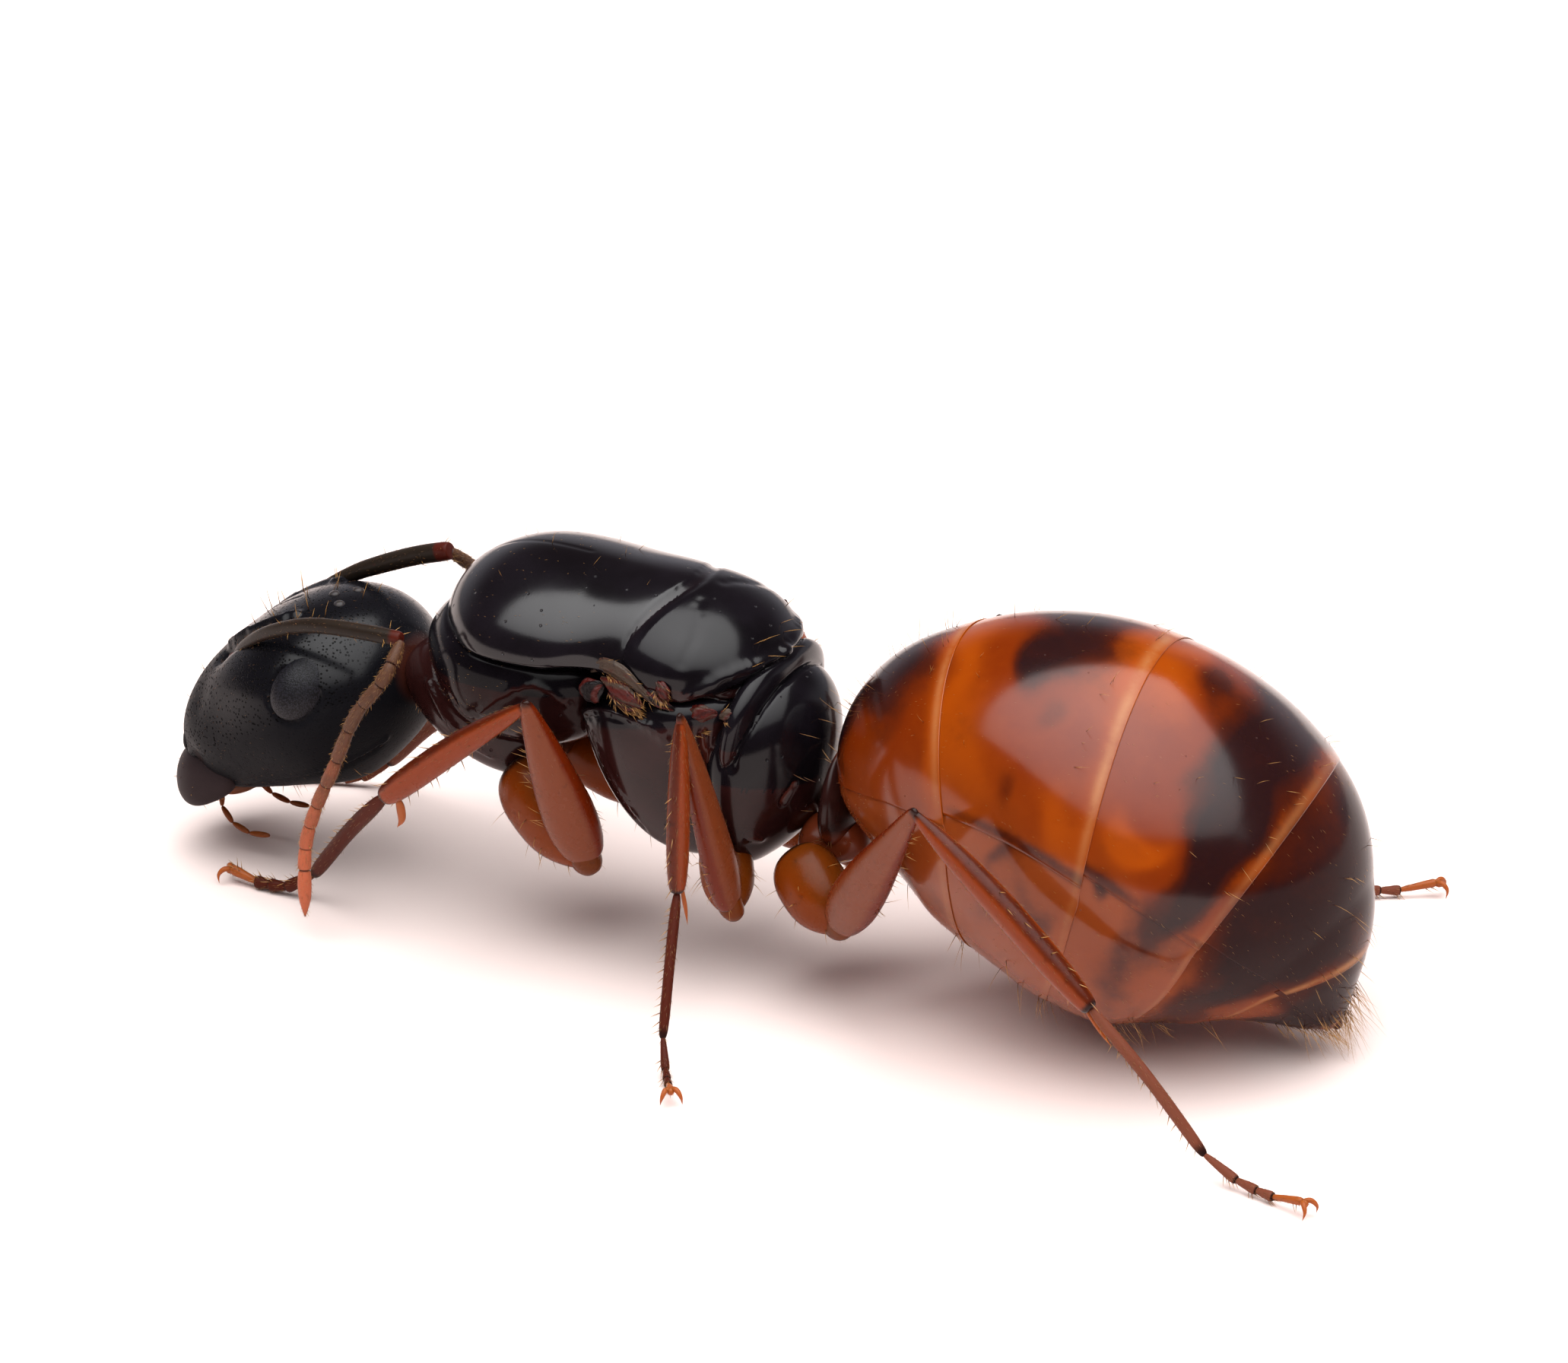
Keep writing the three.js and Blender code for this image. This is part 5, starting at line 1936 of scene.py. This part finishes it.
    def build_coxa(self) -> bpy.types.Object:
        """Builds the hip with the small trochanter under it."""
        skin = Skin(self.coxa_form(), 60, 64)
        skin.mark("edge", smooth(np.sin(skin.turns), -0.2, 0.9) * 0.7)
        skin.mark("joint", smooth(1 - skin.shares, 0.82, 0.97) * 0.8)
        skin.mark("joint", smooth(skin.shares, 0.95, 1.0) * 0.6)
        middle = np.array(self.trochanter)
        thigh = unit(np.array(self.knee) - middle)
        hip = unit(middle - np.array(self.hip))
        size = self.sizes.femur[0] * 0.7
        spine = (middle - hip * 0.24, middle - thigh * 0.03, middle + thigh * 0.22)
        ring = Skin(rod(spine, (size, size, size * 1.05), 0.85, ends=(4.0, 6.0)), 44, 44)
        ring.mark("joint", smooth(ring.shares, 0.86, 0.96) * 0.9)
        ring.mark("edge", 0.7)
        node = self.name + "_coxa"
        mesh = joined(node, [skin.done(), ring.done()])
        return settle(node + "_shell", mesh, COXA_AMBER.material(node), [node])

    def build_femur(self) -> bpy.types.Object:
        """Builds the thigh."""
        skin = Skin(self.femur_form(), 90, 56)
        # Darker top and bottom edges: partly the horn's own rims, partly painted shade for the dark outline
        # of clear horn.
        skin.mark("edge", smooth(np.abs(np.sin(skin.turns)), 0.55, 1.0))
        skin.mark("joint", smooth(skin.shares, 0.94, 1.0) * 0.8)
        skin.mark("joint", smooth(1 - skin.shares, 0.965, 1.0) * 0.9)
        node = self.name + "_femur"
        return settle(node + "_shell", skin.done(), FEMUR_BROWN.material(node), [node])

    def build_tibia(self) -> bpy.types.Object:
        """Builds the shin."""
        skin = Skin(self.tibia_form(), 90, 48)
        # Darker top and bottom edges: partly the horn's own rims, partly painted shade for the dark outline
        # of clear horn.
        skin.mark("edge", smooth(np.abs(np.sin(skin.turns)), 0.5, 1.0) * 0.8)
        skin.mark("joint", smooth(1 - skin.shares, 0.93, 0.99) * 0.8)
        skin.mark("joint", smooth(skin.shares, 0.95, 1.0))
        node = self.name + "_tibia"
        # Right shins get the lighter copy as painted backlight.
        finish = TIBIA_RED if self.side is Side.LEFT else TIBIA_BACKLIT
        return settle(node + "_shell", skin.done(), finish.material(node), [node])

    def build_foot(self) -> None:
        """Builds the foot: its joints, and its end, claws, pad and spur in a clearer finish."""
        parts = []
        forms = self.foot_forms()
        for form in forms[:4]:
            skin = Skin(form, 30, 24)
            skin.mark("joint", smooth(skin.shares, 0.86, 1.0) * 0.9)
            skin.mark("edge", np.abs(np.sin(skin.turns)) * 0.6)
            parts.append(skin.done())
        node = self.name + "_tarsus"
        # Hind feet are paler; right feet are paler too as painted backlight.
        pale = self.pair is Pair.HIND or self.side is Side.RIGHT
        finish = TARSUS_PALE_AND_BACKLIT if pale else TARSUS_RED
        settle(node + "_joints", joined(node, parts), finish.material(node), [node])
        ends = []
        for form in [forms[4], *self.claw_forms(), *self.spur_forms()]:
            skin = Skin(form, 24, 18)
            ends.append(skin.mark("joint", smooth(skin.shares, 0.9, 1.0) * 0.4).done())
        claws = joined(node + "_claws", ends)
        settle(node + "_claws", claws, TOE_ORANGE.material(node + "_claws"), [node])

    def grow_hair(self, seed: int) -> bpy.types.Object:
        """Grows the hairs of the leg and the bristle rows of its shin and foot."""
        coat = Coat(self.name, seed, 8)
        coat.skin().scatter(self.coxa_form(), 26, (0.25, 0.95), (0, 360), Brush(0.2, 0.005, 0.3, 0.15))
        coat.skin().scatter(self.femur_form(), 16, (0.1, 0.9), (-110, -70), Brush(0.18, 0.005, 0.35, 0.12))
        coat.scatter(self.femur_form(), 160, (0.08, 0.97), (0, 360),
                     Brush(0.06, 0.0018, 0.75, shade=0.6, fine=True))
        shin = self.tibia_form()
        coat.skin().scatter(shin, 360, (0.06, 0.98), (0, 360),
                            Brush(0.07, 0.0019, 0.72, shade=0.6, fine=True))
        for degrees in (-90, 90):
            shares = np.linspace(0.45, 0.97, 8) + coat.chance.normal(0, 0.008, 8)
            turns = np.radians(degrees + coat.chance.normal(0, 9, 8))
            coat.grow(shin, shares, turns, Brush(0.17, 0.009, 0.42, 0.05, 0.2, shade=0.4))
        for index, form in enumerate(self.foot_forms()):
            coat.skin()
            count = 180 if index == 0 else 50
            coat.scatter(form, count, (0.06, 0.97), (0, 360), Brush(0.06, 0.002, 0.68, shade=0.5, fine=True))
            rows = 16 if index == 0 else 3
            for degrees in (-120, -60):
                shares = np.linspace(0.12 if index == 0 else 0.7, 0.95, rows)
                turns = np.radians(degrees + coat.chance.normal(0, 8, rows))
                coat.grow(form, shares, turns, Brush(0.12, 0.0065, 0.5, 0.05, 0.2, shade=0.2))
        return coat.finish()

    def build(self, seed: int) -> None:
        """Builds the whole leg."""
        self.build_coxa()
        self.build_femur()
        self.build_tibia()
        self.build_foot()
        self.grow_hair(seed)


LEGS = (
    Leg(Pair.FORE, Side.LEFT, (-2.35, -0.62, 2.35), (-1.12, -1.1, 1.5), (-1.42, -2.05, 3.96),
        (-3.57, -1.95, 2.16), (-5.05, -1.22, 0.5), (-6.32, -1.2, 0.12)),
    Leg(Pair.FORE, Side.RIGHT, (-2.35, 0.62, 2.35), (-1.12, 1.1, 1.5), (-2.5, 2.0, 3.72),
        (-4.45, 1.65, 1.8), (-5.92, 2.22, 0.42), (-7.0, 1.85, 0.12)),
    Leg(Pair.MID, Side.LEFT, (0.6, -0.62, 1.95), (0.98, -1.12, 1.3), (0.77, -2.05, 4.26),
        (0.86, -2.32, 2.0), (1.12, -3.18, 0.52), (1.66, -3.98, 0.1)),
    Leg(Pair.MID, Side.RIGHT, (0.6, 0.62, 1.95), (0.9, 1.12, 1.3), (0.11, 1.95, 4.05),
        (0.45, 2.6, 1.95), (0.95, 3.35, 0.5), (1.5, 3.95, 0.1)),
    Leg(Pair.HIND, Side.LEFT, (1.55, -0.55, 1.92), (2.45, -1.02, 1.36), (4.25, -2.48, 3.94),
        (6.76, -2.6, 1.9), (8.34, -2.66, 0.35), (9.86, -3.0, 0.12)),
    Leg(Pair.HIND, Side.RIGHT, (1.55, 0.55, 1.92), (2.3, 1.1, 1.36), (2.7, 2.88, 4.02),
        (4.97, 4.01, 2.2), (6.26, 4.9, 0.4), (7.62, 5.76, 0.12)),
)


# ---------------------------------------------------------------- studio


@dataclass(frozen=True)
class Studio:
    """Paper floor, one large soft light overhead, faint fill and the camera.

    Sizes are in mm, apart from clip and paper in metres.
    """

    target: Point = (0.21, 1.74, 3.09)
    back: Point = (0.4255, -0.8002, 0.4226)
    distance: float = 130.0
    lens: float = 234.0
    sensor: float = 36.0
    clip: tuple[float, float] = (0.005, 10.0)
    paper: float = 0.9
    light_height: float = 300.0
    light_side: float = 600.0
    light_offset: tuple[float, float] = (98.0, -148.0)
    light_turn: float = -34.0
    light_power: float = 2.95
    fill: Colour = (0.06, 0.04, 0.04)
    wall: Colour = (0.5, 0.48, 0.53)
    light_spread: float = 130.0

    def build_floor(self) -> None:
        """Lays the paper."""
        shape = bmesh.new()
        bmesh.ops.create_circle(shape, cap_ends=True, segments=64, radius=self.paper)
        mesh = meshed(shape, "paper")
        mesh.materials.append(PaperFinish().material("paper"))
        floor = bpy.data.objects.new("paper", mesh)
        bpy.context.scene.collection.objects.link(floor)

    def build_light(self) -> None:
        """Hangs the soft box and sets the faint light from all round."""
        data = bpy.data.lights.new("soft_box", "AREA")
        data.shape = "SQUARE"
        data.size = self.light_side * MM
        data.energy = self.light_power
        data.spread = math.radians(self.light_spread)
        lamp = bpy.data.objects.new("soft_box", data)
        lamp.location = (self.light_offset[0] * MM, self.light_offset[1] * MM, self.light_height * MM)
        lamp.rotation_euler = (0, 0, math.radians(self.light_turn))
        bpy.context.scene.collection.objects.link(lamp)
        room = bpy.data.worlds.new("room")
        bench = Bench("room", room)
        way = bench.node("ShaderNodeTexCoord", None, None, "Generated")
        height = bench.node("ShaderNodeSeparateXYZ", None, {"Vector": way}, "Z")
        behind = bench.node("ShaderNodeSeparateXYZ", None, {"Vector": way}, "Y")
        share = bench.step(height, 0.55, 0.1) * bench.step(behind, -0.2, 0.6)
        colour = bench.mix(share, self.fill, self.wall)
        back = bench.node("ShaderNodeBackground", None, {"Color": colour})
        bench.node("ShaderNodeOutputWorld", None, {"Surface": back})
        bpy.context.scene.world = room

    def build_camera(self) -> None:
        """Sets the camera."""
        data = bpy.data.cameras.new("camera")
        data.lens = self.lens
        data.sensor_width = self.sensor
        data.sensor_fit = "HORIZONTAL"
        data.clip_start, data.clip_end = self.clip
        camera = bpy.data.objects.new("camera", data)
        back = Vector(self.back).normalized()
        middle = Vector(LAND.here(np.array(self.target)))
        camera.location = middle + back * self.distance * MM
        camera.rotation_mode = "QUATERNION"
        camera.rotation_quaternion = (-back).to_track_quat("-Z", "Y")
        bpy.context.scene.collection.objects.link(camera)
        bpy.context.scene.camera = camera

    def build(self) -> None:
        """Sets up the whole studio."""
        self.build_floor()
        self.build_light()
        self.build_camera()
        bpy.context.scene.view_settings.view_transform = "Standard"


def main() -> None:
    """Builds the ant and the studio."""
    logging.basicConfig(level=logging.INFO, format="%(name)s %(message)s")
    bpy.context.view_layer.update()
    Studio().build()
    Head().build()
    for feeler in FEELERS:
        feeler.build()
    Trunk().build()
    Waist().build()
    Gaster().build()
    for number, leg in enumerate(LEGS):
        leg.build(SEEDS["leg"] + number)


if __name__ == "__main__":
    main()
